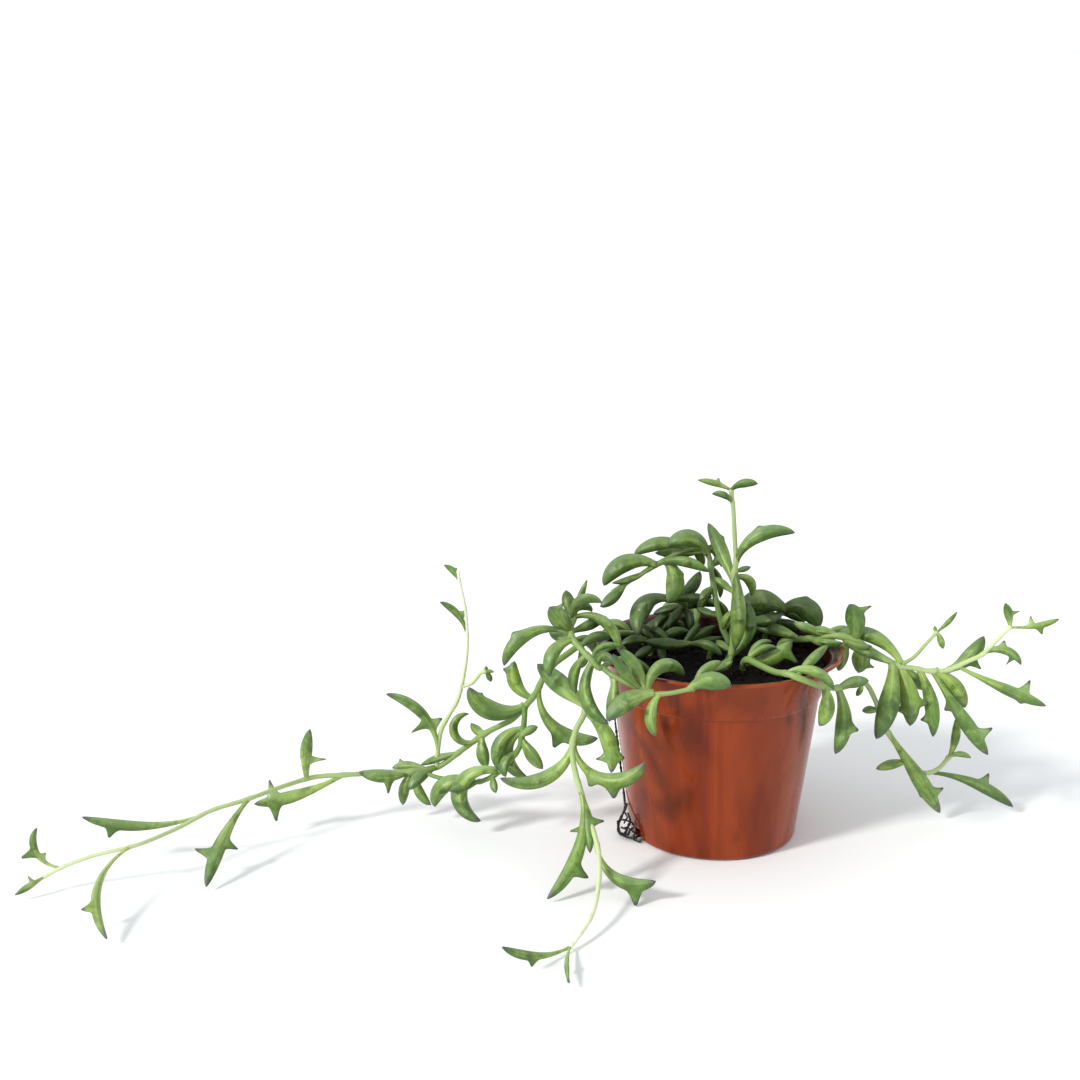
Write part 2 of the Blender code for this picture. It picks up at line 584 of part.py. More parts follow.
def leaf_form(leaf, paths, bend):
    """Where a leaf runs in space, half its width in millimetres, and its fins.

    A leaf with seen fins faces the viewer. One without is turned edge on, and a long one of these has fins
    that point to and from the viewer.
    """
    root = nearest_place(paths, leaf.root)
    middle = seen(*leaf.middle, root.y + MIDDLE_BACK * (leaf.back + bend))
    tip = seen(*leaf.tip, root.y + leaf.back + bend)
    scale = size_of_pixel(middle)
    half = leaf.width / 2 * scale * WIDTH_GAIN
    length = (middle - root).length + (tip - middle).length
    edge_on = not leaf.fins
    fins = seen_fins(leaf, root, middle, tip, scale)
    if edge_on and length > FINNED_LEAF:
        fins = [(DEFAULT_FIN_PLACE, side, half * DEFAULT_FIN_REACH) for side in (-1, 1)]
    return LeafForm(root, middle, tip, half, length, fins, edge_on)


def fin_spans(form):
    """The shares of a leaf's length over which its fins rise before their tips and fall after them."""
    return min(FIN_START_SHARE, FIN_START / form.length), min(FIN_END_SHARE, FIN_END / form.length)


def section_at(form, station):
    """A leaf's midline point at a share of its length, its directions across and through, and half sizes."""
    spine = bow(form.root, form.middle, form.tip, station)
    ahead = bow(form.root, form.middle, form.tip, station + HEADING_STEP)
    heading = (ahead - bow(form.root, form.middle, form.tip, station - HEADING_STEP)).normalized()
    across = (spine - EYE).normalized().cross(heading).normalized()
    facing = heading.cross(across)
    slim = not form.turned and form.length > SLIM_LENGTH * form.half
    wide = max(form.half * blade(station, slim), STALK_HALF)
    if form.turned:
        return spine, facing, -across, max(wide * TURNED_SHARE, THINNEST_HALF), wide
    return spine, across, facing, wide, max(wide * THICKNESS_SHARE, THINNEST_HALF)


def leaf_stations(form):
    """The shares of a leaf's length at which it has a section, without any that lie close together."""
    small = form.length <= SMALL_LEAF
    stations = set(SMALL_STATIONS if small else LARGE_STATIONS)
    if not form.turned:
        stations |= FACING_STATIONS
    if not small and not form.fins:
        stations |= FINLESS_STATIONS
    places = [place for place, _, _ in form.fins]
    before, after = fin_spans(form)
    for place in places:
        stations |= {place - before, place, place + after}
    kept = []
    for station in sorted(stations):
        near = kept and station - kept[-1] < NEAR_STATION
        if near and station not in places:
            continue
        if near:
            kept.pop()
        kept.append(station)
    return kept


def leaf_sections(form):
    """The sections of a leaf: its spine point, and the arms to its left, its face, its right and its back."""
    sections = []
    for station in leaf_stations(form):
        spine, across, facing, wide, thick = section_at(form, station)
        arms = [wide, wide]
        for place, side, reach in form.fins:
            if station == place:
                arms[0 if side > 0 else 1] = max(reach, wide)
        sections.append((spine, across * arms[0], facing * thick, across * -arms[1], facing * -thick))
    return sections


# Keeping leaves clear of the pot, the surface and the other shoots

def pot_radius(height):
    """The pot's outer radius at a height, a little generous."""
    neck = POT_HEIGHT - COLLAR_HEIGHT
    collar = POT_NECK_RADIUS + COLLAR_STEP
    heights = [0.0, neck - COLLAR_UNDERCUT, neck, POT_HEIGHT - LIP_HEIGHT, POT_HEIGHT - LIP_EDGE]
    radii = [POT_BASE_RADIUS, POT_NECK_RADIUS, collar, COLLAR_TOP_RADIUS, POT_RIM_RADIUS]
    return np.interp(height, heights, radii)


def room_round(samples, others):
    """The least distance from points with radii to the surface, the pot, the soil and the other shoots."""
    points = samples[:, :3]
    radii = samples[:, 3]
    out = np.hypot(points[:, 0], points[:, 1])
    height = points[:, 2]
    outer = pot_radius(height)
    inside = np.minimum(outer - POT_WALL * 2 - out, height - SOIL_TOP - SOIL_RELIEF)
    pot_room = np.maximum(np.maximum(out - outer, height - POT_HEIGHT), inside)
    room = min((height - radii).min(), (pot_room - radii).min())
    if len(others):
        low = points.min(axis=0) - NEIGHBOUR_REACH
        high = points.max(axis=0) + NEIGHBOUR_REACH
        near = others[np.all((others[:, :3] > low) & (others[:, :3] < high), axis=1)]
        if len(near):
            apart = np.linalg.norm(points[:, None] - near[None, :, :3], axis=2)
            room = min(room, (apart - radii[:, None] - near[None, :, 3]).min())
    return room


def path_samples(path, radii):
    """Points with radii along a stem."""
    samples = []
    for start, end, radius in zip(path, path[1:], radii):
        samples += [(*start.lerp(end, step / STEM_CHECKS), radius) for step in range(STEM_CHECKS)]
    return samples


def leaf_samples(sections, tip):
    """Points with radii all over a leaf."""
    samples = [(*tip, TIP_RADIUS)]
    nothing = Vector((0, 0, 0))
    for first, second in zip(sections, sections[1:] + [(tip, nothing, nothing, nothing, nothing)]):
        for step in SPOTS_ALONG:
            spine, left, face, right, _ = (a.lerp(b, step) for a, b in zip(first, second))
            for share in SPOTS_ACROSS:
                radius = face.length * (1 - share * EDGE_THINNING)
                samples.append((*(spine + left * share), radius))
                samples.append((*(spine + right * share), radius))
    return samples


def arrange_leaves(plant):
    """The stem paths of every shoot and the forms of its leaves, each bent to keep it clear of the rest."""
    paths = {name: stem_paths(shoot) for name, shoot in plant.items()}
    taken = {name: [sample for path, radii in paths[name] for sample in path_samples(path, radii)]
             for name in plant}
    arranged = {}
    for name, shoot in plant.items():
        others = np.array([sample for other in plant if other != name for sample in taken[other]])
        forms = []
        for leaf in shoot.leaves:
            best = None
            for bend in BENDS:
                form = leaf_form(leaf, paths[name], bend)
                samples = np.array(leaf_samples(leaf_sections(form), form.tip))
                room = room_round(samples, others)
                if best is None or room > best[0]:
                    best = (room, form, samples)
                if room > LEAF_CLEARANCE:
                    break
            forms.append(best[1])
            taken[name] += [tuple(sample) for sample in best[2]]
        arranged[name] = forms
    return paths, arranged


# Making objects

def material(name, colour, roughness):
    made = bpy.data.materials.new(name)
    made.use_nodes = True
    shader = made.node_tree.nodes["Principled BSDF"]
    shader.inputs["Base Color"].default_value = (*colour, 1.0)
    shader.inputs["Roughness"].default_value = roughness
    shader.inputs["Metallic"].default_value = 0.0
    return made


def object_from(name, mesh, collection):
    made = bpy.data.objects.new(name, mesh)
    collection.objects.link(made)
    return made


def evaluated_mesh(source, weld=WELD):
    """The evaluated shape of an object, welded and without loose scraps, and whether it is closed."""
    bpy.context.view_layer.update()
    evaluated = source.evaluated_get(bpy.context.evaluated_depsgraph_get())
    mesh = bpy.data.meshes.new_from_object(evaluated)
    shape = bmesh.new()
    shape.from_mesh(mesh)
    if weld:
        bmesh.ops.remove_doubles(shape, verts=shape.verts, dist=weld * MM)
        bmesh.ops.dissolve_degenerate(shape, edges=shape.edges, dist=weld * MM)
    drop_scraps(shape)
    bmesh.ops.dissolve_limit(shape, angle_limit=FLAT_ANGLE, verts=shape.verts, edges=shape.edges)
    bmesh.ops.triangulate(shape, faces=shape.faces)
    bmesh.ops.recalc_face_normals(shape, faces=shape.faces)
    closed = all(len(edge.link_faces) == 2 for edge in shape.edges)
    shape.to_mesh(mesh)
    shape.free()
    return mesh, closed


def drop_scraps(shape):
    """Removes the loose bits that a union leaves: every face that edges don't join to the largest body."""
    left = set(shape.faces)
    bodies = []
    while left:
        body = {left.pop()}
        border = list(body)
        while border:
            face = border.pop()
            joined = {other for edge in face.edges for other in edge.link_faces} & left
            left -= joined
            body |= joined
            border += joined
        bodies.append(body)
    largest = max(bodies, key=len)
    scraps = [face for face in shape.faces if face not in largest]
    bmesh.ops.delete(shape, geom=scraps, context="FACES")


def as_mesh(source, collection, mesh=None):
    """A mesh, by default the evaluated shape, as an object in the place of the source, which is removed."""
    mesh = mesh or evaluated_mesh(source)[0]
    name = source.name
    place = source.matrix_world.copy()
    bpy.data.objects.remove(source)
    made = object_from(name, mesh, collection)
    made.matrix_world = place
    return made


def tube(name, path, radii, collection):
    """A round stem with closed ends along a path in millimetres."""
    curve = bpy.data.curves.new(name, "CURVE")
    curve.dimensions = "3D"
    curve.bevel_depth = MM
    curve.bevel_resolution = 1
    curve.use_fill_caps = True
    spline = curve.splines.new("POLY")
    spline.points.add(len(path) - 1)
    for point, place, radius in zip(spline.points, path, radii):
        point.co = (*(place * MM), 1.0)
        point.radius = radius
    return as_mesh(object_from(name, curve, collection), collection)


def leaf_object(name, form, collection):
    """A leaf lofted through its sections to its tip."""
    shape = bmesh.new()
    rings = [[shape.verts.new((spine + arm) * MM) for arm in arms] for spine, *arms in leaf_sections(form)]
    for first, second in zip(rings, rings[1:]):
        for index in range(len(first)):
            shape.faces.new((first[index - 1], first[index], second[index], second[index - 1]))
    shape.faces.new(rings[0])
    point = shape.verts.new(form.tip * MM)
    for index in range(len(rings[-1])):
        shape.faces.new((rings[-1][index - 1], rings[-1][index], point))
    bmesh.ops.recalc_face_normals(shape, faces=shape.faces)
    bmesh.ops.triangulate(shape, faces=shape.faces)
    mesh = bpy.data.meshes.new(name)
    shape.to_mesh(mesh)
    shape.free()
    return object_from(name, mesh, collection)


def fuse(body, pieces, collection):
    """One solid of a body and the pieces in a collection, which are then removed."""
    union = body.modifiers.new("pieces", "BOOLEAN")
    union.operation = "UNION"
    union.operand_type = "COLLECTION"
    union.collection = pieces
    for solver, weld in (("EXACT", WELD), ("EXACT", WELD / 10), ("MANIFOLD", WELD), ("MANIFOLD", 0.0)):
        union.solver = solver
        mesh, closed = evaluated_mesh(body, weld)
        if closed:
            break
    fused = as_mesh(body, collection, mesh)
    for piece in list(pieces.objects):
        bpy.data.objects.remove(piece)
    bpy.data.collections.remove(pieces)
    return fused


def finish(made, look):
    """Smooth shading with sharp edges kept, and the material."""
    made.data.materials.clear()
    made.data.materials.append(look)
    made.data.shade_smooth()
    made.data.set_sharp_from_angle(angle=SHARP_ANGLE)


def turned(name, profile, steps, collection):
    """A solid turned about the vertical axis from a profile in millimetres, outer side first, downwards."""
    mesh = bpy.data.meshes.new(name)
    mesh.from_pydata([(radius * MM, 0, height * MM) for radius, height in profile],
                     [(index, index + 1) for index in range(len(profile) - 1)], [])
    made = object_from(name, mesh, collection)
    screw = made.modifiers.new("turn", "SCREW")
    screw.angle = math.tau
    screw.steps = steps
    screw.render_steps = steps
    screw.use_merge_vertices = True
    screw.merge_threshold = WELD * MM
    return as_mesh(made, collection)


def pin_cutter(name, x, y, low, high, radius, sides, cutters):
    """An upright round cutter, in millimetres."""
    mesh = bpy.data.meshes.new(name)
    shape = bmesh.new()
    bmesh.ops.create_cone(shape, cap_ends=True, segments=sides, radius1=radius * MM, radius2=radius * MM,
                          depth=(high - low) * MM)
    shape.to_mesh(mesh)
    shape.free()
    made = object_from(name, mesh, cutters)
    made.location = (x * MM, y * MM, (low + high) / 2 * MM)
    made.hide_render = True
    made.display_type = "WIRE"
    return made


def cut(body, tools, collection):
    """A body less the shapes in a collection, which are then removed."""
    difference = body.modifiers.new("holes", "BOOLEAN")
    difference.operation = "DIFFERENCE"
    difference.operand_type = "COLLECTION"
    difference.collection = tools
    difference.solver = "EXACT"
    made = as_mesh(body, collection)
    for tool in list(tools.objects):
        bpy.data.objects.remove(tool)
    bpy.data.collections.remove(tools)
    return made


def new_collection(name):
    made = bpy.data.collections.new(name)
    bpy.context.scene.collection.children.link(made)
    return made


# The pot and the soil

def lip_curve(start, reach, low, rise):
    """A quarter turn from straight up at the start radius to level at start plus reach."""
    angles = [math.pi / 2 * step / LIP_CURVE_STEPS for step in range(LIP_CURVE_STEPS + 1)]
    return [(start + reach * (1 - math.cos(angle)), low + rise * math.sin(angle)) for angle in angles]


def pot_profile():
    """The pot's outline: down the outside from the lip, under the bottom, and up again inside."""
    neck = POT_HEIGHT - COLLAR_HEIGHT
    lip_start = POT_HEIGHT - LIP_HEIGHT
    overhang = POT_RIM_RADIUS - COLLAR_TOP_RADIUS
    outer_lip = lip_curve(COLLAR_TOP_RADIUS, overhang, lip_start, LIP_HEIGHT - LIP_EDGE)
    inner_start = COLLAR_TOP_RADIUS - POT_WALL
    inner_lip = lip_curve(inner_start, POT_RIM_RADIUS - LIP_EDGE / 2 - inner_start, lip_start, LIP_HEIGHT)
    collar = POT_NECK_RADIUS + COLLAR_STEP
    return ([inner_lip[-1], (POT_RIM_RADIUS, POT_HEIGHT - LIP_EDGE / 2)]
            + outer_lip[::-1]
            + [(collar, neck), (POT_NECK_RADIUS, neck - COLLAR_UNDERCUT), (POT_BASE_RADIUS, FOOT_ROUND),
               (POT_BASE_RADIUS - FOOT_ROUND, 0.0), (0.0, 0.0), (0.0, POT_FLOOR),
               (POT_BASE_RADIUS - POT_WALL, POT_FLOOR), (POT_NECK_RADIUS - POT_WALL, neck - COLLAR_UNDERCUT),
               (collar - POT_WALL, neck)]
            + inner_lip)


def make_pot(collection, look):
    pot = turned("pot", pot_profile(), POT_STEPS, collection)
    holes = new_collection("drain_cutters")
    drains = [("root_hole", ROOT_HOLE_ANGLE, ROOT_HOLE_CIRCLE, ROOT_HOLE_RADIUS)]
    for index in range(1, DRAIN_HOLES):
        angle = ROOT_HOLE_ANGLE + math.tau * index / DRAIN_HOLES
        drains.append((f"drain_{index}", angle, DRAIN_HOLE_CIRCLE, DRAIN_HOLE_RADIUS))
    for name, angle, circle, radius in drains:
        pin_cutter(name, circle * math.cos(angle), circle * math.sin(angle), -CUT_MARGIN, DRAIN_CUT_HEIGHT,
                   radius, DRAIN_HOLE_SIDES, holes)
    pot = cut(pot, holes, collection)
    finish(pot, look)
    return pot


def soil_height(x, y):
    """The uneven height of the soil's top."""
    (long_x, long_y), (short_x, short_y) = SOIL_WAVES
    long_wave = math.sin(x / long_x) * math.cos(y / long_y)
    short_wave = math.sin(y / short_y - x / short_x)
    return SOIL_TOP + SOIL_RELIEF * (long_wave + SHORT_WAVE_SHARE * short_wave) / (1 + SHORT_WAVE_SHARE)


def soil_edge():
    """The radius of the soil's top where it meets the collar."""
    neck = POT_HEIGHT - COLLAR_HEIGHT
    collar = POT_NECK_RADIUS + COLLAR_STEP
    climb = (SOIL_TOP - neck) / (POT_HEIGHT - LIP_HEIGHT - neck)
    return collar + (COLLAR_TOP_RADIUS - collar) * climb - POT_WALL - GAP * 2


def make_soil(collection, look, roots):
    """The root ball: a tapered plug with uneven top and a plain hole for every stem."""
    neck = POT_HEIGHT - COLLAR_HEIGHT
    inset = POT_WALL + GAP
    edge = soil_edge()
    profile = [(edge * ring / SOIL_RINGS, SOIL_TOP) for ring in range(SOIL_RINGS)]
    profile += [(edge, SOIL_TOP - SOIL_EDGE_DROP), (POT_NECK_RADIUS + COLLAR_STEP - inset, neck + GAP),
                (POT_NECK_RADIUS - inset, neck - COLLAR_UNDERCUT), (POT_BASE_RADIUS - inset, POT_FLOOR + GAP),
                (0.0, POT_FLOOR + GAP)]
    soil = turned("soil", profile, POT_STEPS, collection)
    for vertex in soil.data.vertices:
        x, y, z = vertex.co / MM
        if z > SOIL_TOP - SOIL_EDGE_DROP / 2:
            vertex.co.z = soil_height(x, y) * MM
    holes = new_collection("stem_hole_cutters")
    low, high = SOIL_TOP - HOLE_DEPTH, SOIL_TOP + HOLE_CUT_RISE
    for name, (x, y, radius) in roots.items():
        pin_cutter(f"hole_{name}", x, y, low, high, radius + GAP, HOLE_SIDES, holes)
    soil = cut(soil, holes, collection)
    finish(soil, look)
    return soil


def wall_places():
    """Places up the pot's wall that the longest dry root runs through."""
    outward = Vector((math.cos(DRY_THREAD_ANGLE), math.sin(DRY_THREAD_ANGLE), 0.0))
    return [outward * (pot_radius(height) + DRY_THREAD_GAP + DRY_THREAD_RADIUS) + Vector((0, 0, height))
            for height in DRY_THREAD_HEIGHTS]


def make_dry_roots(collection, look):
    """Thin root ends that creep out of the widest drain hole and curl on the surface and up the pot."""
    outward = Vector((math.cos(ROOT_HOLE_ANGLE), math.sin(ROOT_HOLE_ANGLE), 0.0))
    start = outward * (ROOT_HOLE_CIRCLE - DRY_ROOT_INSET) + Vector((0, 0, POT_FLOOR - DRY_ROOT_RADIUS))
    beyond, height = DRY_ROOT_WAY_OUT
    way_out = outward * (POT_BASE_RADIUS + beyond) + Vector((0, 0, height))
    loop = [start, way_out] + [seen(*place) for place in DRY_ROOT_LOOP]
    branch = [loop[3]] + [seen(*place) for place in DRY_ROOT_BRANCH]
    thread = [loop[-1]] + wall_places()
    pieces = new_collection("dry_root_pieces")
    made = []
    for name, points, spacing, radius, home in (
            ("dry_roots", loop, DRY_ROOT_SPACING, DRY_ROOT_RADIUS, collection),
            ("dry_root_branch", branch, DRY_ROOT_SPACING, DRY_ROOT_RADIUS, pieces),
            ("dry_root_thread", thread, DRY_THREAD_SPACING, DRY_THREAD_RADIUS, pieces)):
        path = smooth_path(points, spacing)
        made.append(tube(name, path, [radius] * len(path), home))
    roots = fuse(made[0], pieces, collection)
    finish(roots, look)
    return roots


# The whole plant

def make_shoot(name, paths, forms, collection, look):
    pieces = new_collection(f"{name}_pieces")
    body = None
    for index, (path, radii) in enumerate(paths):
        made = tube(name if body is None else f"{name}_stem_{index}", path, radii,
                    collection if body is None else pieces)
        body = body or made
    for index, form in enumerate(forms):
        leaf_object(f"{name}_leaf_{index}", form, pieces)
    shoot = fuse(body, pieces, collection)
    finish(shoot, look)
    return shoot


def main():
    for thing in list(bpy.data.objects):
        bpy.data.objects.remove(thing)
    collection = new_collection(COLLECTION_NAME)
    green = material("succulent_leaf", *SUCCULENT_LEAF)
    paths, arranged = arrange_leaves(PLANT)
    make_pot(collection, material("glossy_terracotta_plastic", *TERRACOTTA_PLASTIC))
    roots = {name: (*shoot.root, shoot.stems[0].thick) for name, shoot in PLANT.items()}
    make_soil(collection, material("dark_soil", *DARK_SOIL), roots)
    make_dry_roots(collection, material("dry_root", *DRY_ROOT))
    for name in PLANT:
        make_shoot(name, paths[name], arranged[name], collection, green)


main()
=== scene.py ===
"""The looks of the potted string of dolphins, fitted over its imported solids.

Named sizes are in millimetres and the scene is in metres. +Z is up, +X is to the right and -Y is towards
the viewer. The stems and leaves follow the same places as the solids do, so that each fine piece lies where
its node is, with round stems, full sections and swept fins.
"""

import math
import random
from collections import namedtuple

import bmesh
import bpy
import numpy as np
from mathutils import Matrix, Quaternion, Vector, kdtree, noise

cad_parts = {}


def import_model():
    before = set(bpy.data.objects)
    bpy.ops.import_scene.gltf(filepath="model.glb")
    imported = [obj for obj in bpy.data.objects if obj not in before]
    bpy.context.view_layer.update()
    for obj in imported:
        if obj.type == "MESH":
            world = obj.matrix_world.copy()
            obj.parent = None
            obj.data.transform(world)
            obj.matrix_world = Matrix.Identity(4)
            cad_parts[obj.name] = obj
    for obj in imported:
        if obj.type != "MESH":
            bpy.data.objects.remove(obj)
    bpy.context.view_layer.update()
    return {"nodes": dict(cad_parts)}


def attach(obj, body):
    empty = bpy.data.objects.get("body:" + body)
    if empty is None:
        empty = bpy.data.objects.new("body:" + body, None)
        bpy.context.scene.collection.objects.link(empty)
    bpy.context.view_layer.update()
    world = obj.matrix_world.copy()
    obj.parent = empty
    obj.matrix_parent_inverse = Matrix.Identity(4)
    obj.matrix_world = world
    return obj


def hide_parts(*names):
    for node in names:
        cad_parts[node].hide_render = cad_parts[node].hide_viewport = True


MM = 0.001
GAP = 0.3

# Pot
POT_HEIGHT = 82.0
POT_RIM_RADIUS = 52.5
POT_BASE_RADIUS = 35.5
POT_NECK_RADIUS = 43.7
POT_WALL = 1.1
POT_FLOOR = 2.2
POT_SHARP_ANGLE = math.radians(42)
COLLAR_HEIGHT = 17.5
COLLAR_STEP = 0.9
COLLAR_UNDERCUT = 0.5
COLLAR_TOP_RADIUS = 48.0
LIP_HEIGHT = 3.4
LIP_EDGE = 1.0
FOOT_ROUND = 1.2
FOOT_CORNER = 0.5
NECK_CORNER = 0.25
COLLAR_CORNER = 0.3
RIM_CORNER = 0.25
NECK_HEIGHT = POT_HEIGHT - COLLAR_HEIGHT
COLLAR_RADIUS = POT_NECK_RADIUS + COLLAR_STEP
LIP_START = POT_HEIGHT - LIP_HEIGHT

# Drain holes, the first of them widened for the roots
DRAIN_HOLES = 7
DRAIN_HOLE_RADIUS = 2.6
DRAIN_HOLE_CIRCLE = 30.0
ROOT_HOLE_ANGLE = math.radians(203)
ROOT_HOLE_CIRCLE = 33.5
ROOT_HOLE_RADIUS = 3.4
DRAIN_CUT_HEIGHT = 5.2
CUT_MARGIN = 1.0

# Fineness of the pot and the soil
POT_STEPS = 168
POT_RING_SPACING = 1.5
LIP_CURVE_STEPS = 9
CORNER_STEPS = 5
DRAIN_HOLE_SIDES = 32
SOIL_RINGS = 64
SOIL_SPOKES = 220

# How dark the pot is: its share at the lip inside, full at the soil, and painted dark reflections of the
# leaves outside, each as its middle in the view, half its width and height in pixels and its strength
LIP_DARKENING = 0.88
REFLECTION_EDGE = 1.3
POT_DARK_REFLECTIONS = (
    (803, 714, 5, 30, 0.8),
    (789, 719, 3, 7, 0.8),
    (666, 725, 5, 9, 0.7),
    (677, 712, 2, 22, 0.6),
    (686, 732, 12, 22, 0.35),
    (666, 762, 20, 34, 0.3),
    (674, 797, 18, 22, 0.35),
    (735, 700, 22, 14, 0.25),
    (628, 745, 3, 20, 0.5),
    (736, 838, 4, 5, 0.35),
)

# Soil, whose swells, lumps and grit are each a rate of noise and a height
SOIL_TOP = 74.0
SOIL_SHOULDER = 2.0
SOIL_RELIEF = 0.7
SOIL_WAVES = ((3.2, 3.7), (5.0, 1.9))
SHORT_WAVE_SHARE = 0.6
SOIL_SWELLS = (0.16, 0.8)
SOIL_LUMPS = (0.42, 1.1)
SOIL_GRIT = (1.3, 0.35)
LUMP_MIDDLE = 0.5
HOLE_DEPTH = 9.0

# Loose crumbs: how far out they reach, how they gather there, their sizes and their shapes, whose bumps are
# a rate of noise and a share
CRUMBS = 620
CRUMB_SEED = 11
CRUMB_REACH = 0.97
CRUMB_GATHERING = 0.45
CRUMB_LEAST = 0.35
CRUMB_RANGE = 1.3
CRUMB_RARITY = 3
CRUMB_RISE = 0.25
CRUMB_STRETCH = (0.7, 1.3)
CRUMB_FLATNESS = (0.5, 0.9)
CRUMB_BUMPS = (1.4, 0.35)
CRUMB_NOISE_STEP = 3.1

# Dry roots: the sizes of the two thick ones, of the thin one up the wall and of the curls, and then the
# least share of the radius with the rate and the share of its bumps
DRY_ROOT_RADIUS = 0.6
DRY_ROOT_INSET = 1.5
DRY_ROOT_WAY_OUT = (1.0, 1.3)
DRY_THREAD_RADIUS = 0.55
DRY_THREAD_ANGLE = math.radians(177)
DRY_THREAD_GAP = 0.3
DRY_THREAD_HEIGHTS = (17.0, 23.0, 30.0, 38.0, 46.0, 53.0)
DRY_CURL_RADIUS = 0.5
DRY_CURL_KINK = 1.9
DRY_CURL_TURNS = 0.3
DRY_CURL_SEED = 4
DRY_LEAST = 0.85
DRY_BUMPS = (0.8, 0.6)
DRY_NOISE_STEP = 9.0
DRY_STEP = 0.4
DRY_RING = 8

# Stems: a shoot's first one rises straight out of its hole before it turns away, and the bumps are a rate of
# noise and a height
STEM_SPACING = 10.5
STEM_RISE = 2.0
STEM_SPOTS = 6
STEM_STEP = 1.1
STEM_RING = 14
STEM_BUMPS = (0.4, 0.05)
STEM_NOISE_STEP = 7.0
KNOT_SWELL = 0.16
KNOT_LENGTH = 1.6
TUBE_START = 0.5
TUBE_END = 0.8

# Leaves as the solids have them, in millimetres and in shares of a leaf's length or width
FINNED_LEAF = 21.0
STALK_HALF = 0.6
THINNEST_HALF = 0.42
WIDTH_GAIN = 1.12
THICKNESS_SHARE = 0.55
TURNED_SHARE = 0.8
MIDDLE_BACK = 0.55
FIN_START = 4.2
FIN_END = 2.5
FIN_START_SHARE = 0.13
FIN_END_SHARE = 0.08
FIN_PLACES = (0.4, 0.45, 0.5, 0.55, 0.6, 0.65, 0.7, 0.75, 0.8)
DEFAULT_FIN_PLACE = 0.6
DEFAULT_FIN_REACH = 1.6
HEADING_STEP = 0.02
STRAIGHT = 0.01

# A leaf's outline: the stalk's and the bulge's shares of the half width, and how the bulge leans to the
# tip. A leaf is slim if it faces the viewer and is this many times as long as half its width.
SLIM_LENGTH = 10.5
SLIM_BLADE = (0.34, 0.95, 1.8)
FULL_BLADE = (0.42, 0.93, 1.35)
TIP_FULLNESS = 0.6

# How far a leaf's tip may be bent back or forward, which keeps the solids clear of each other
BENDS = (0.0, -5.0, 5.0, -10.0, 10.0, -15.0, 15.0, -21.0, 21.0)

# Fine skins of the leaves, which need not be as wide as the solids, being rounder
SEEN_WIDTH = 1 / WIDTH_GAIN
LEAF_RING = 22
LEAF_STEPS = 30
LEAF_STEP_LEAN = 0.9
LEAST_STEP = 0.008
LEAF_FOOT_FLARE = 0.25
LEAF_FOOT_LENGTH = 0.05
TIP_ROUND = 1.3
TIP_STATIONS = (0.985, 0.996)
FIN_CURVE = 2.1
FIN_BLUNTNESS = 0.86
FIN_BASE = 0.8
FIN_SHARPNESS = 1.3
FIN_STEPS = (0.12, 0.25, 0.4, 0.6, 0.8, 1.0)
KEEN_EDGE = 1.45
GROOVE_DEPTH = 0.2
GROOVE_WIDTH = 0.28
EDGE_CURL = 0.12

# Values painted on the points of every leafy piece: the share of the leaf's length, the share out to its
# edge, the height over its spine, which gives a painted highlight on top and painted shade below, the share
# of a fin's reach, the leaf's own tint, its painted shade, how young it is, and 1 on a stem. On a stem the
# first is how pale it is.
PAINTED = ("along", "edge", "upper", "fin", "tint", "shade", "young", "stem")

# How far out from the pot's axis leaves begin to be young, and are wholly so
YOUNG_START = 95.0
YOUNG_FULL = 230.0

# Painted shade of a leaf for the other leaves' spots near it, and how much leaves of one shoot differ in it
CROWD_REACH = 9.0
CROWD_FULL = 16.0
CROWD_SHADE = 0.75
CROWD_SPOTS = (0.3, 0.55, 0.8)
SHADE_SPREAD = 0.12

# The view that the places were read in: pixels of a square image, looking along +Y and down
EYE = Vector((-74.5, -620.0, 278.0))
LOOK_DOWN = math.radians(13.64)
LOOK_SINE = math.sin(LOOK_DOWN)
LOOK_COSINE = math.cos(LOOK_DOWN)
FOCAL_PIXELS = 1540.0
IMAGE_SIZE = 1080.0
IMAGE_MIDDLE = IMAGE_SIZE / 2

# Surroundings: light comes from the left and a little from the front, as the shadows show
FLOOR_SIZE = 16.0
FLOOR_DROP = 0.2
FLOOR_COLOUR = (0.91, 0.925, 0.935)
LENS_FRAME = 36.0
SKY_COLOUR = (0.965, 0.985, 1.0)
SKY_GLOW = 1.06
SKY_TOP = 0.84
SKY_FADE = (0.16, 0.45)
SUN_HEADING = (1.3, 0.9, -1.0)
SUN_POWER = 2.5
SUN_COLOUR = (1.0, 0.985, 0.95)
SUN_SPREAD = math.radians(9)

# A shoot stands in the soil at root (x, y in mm). Its shade goes from 0 in full light to 1 deep in the
# plant. A stem is its thickest and thinnest radius in mm, how pale it is at its foot and at its end, from 0
# for leaf green to 1 for cream, and its places (pixel right, pixel down, mm behind the pot's axis). A leaf
# is the root, middle and tip of its midline in pixels, its width in pixels, how many mm its tip lies behind
# its root, and its fins' tips in pixels.
Shoot = namedtuple("Shoot", "root shade stems leaves")
Stem = namedtuple("Stem", "thick thin pale places")
Leaf = namedtuple("Leaf", "root middle tip width back fins", defaults=[()])
LeafForm = namedtuple("LeafForm", "root middle tip half length fins turned")

PLANT = {}

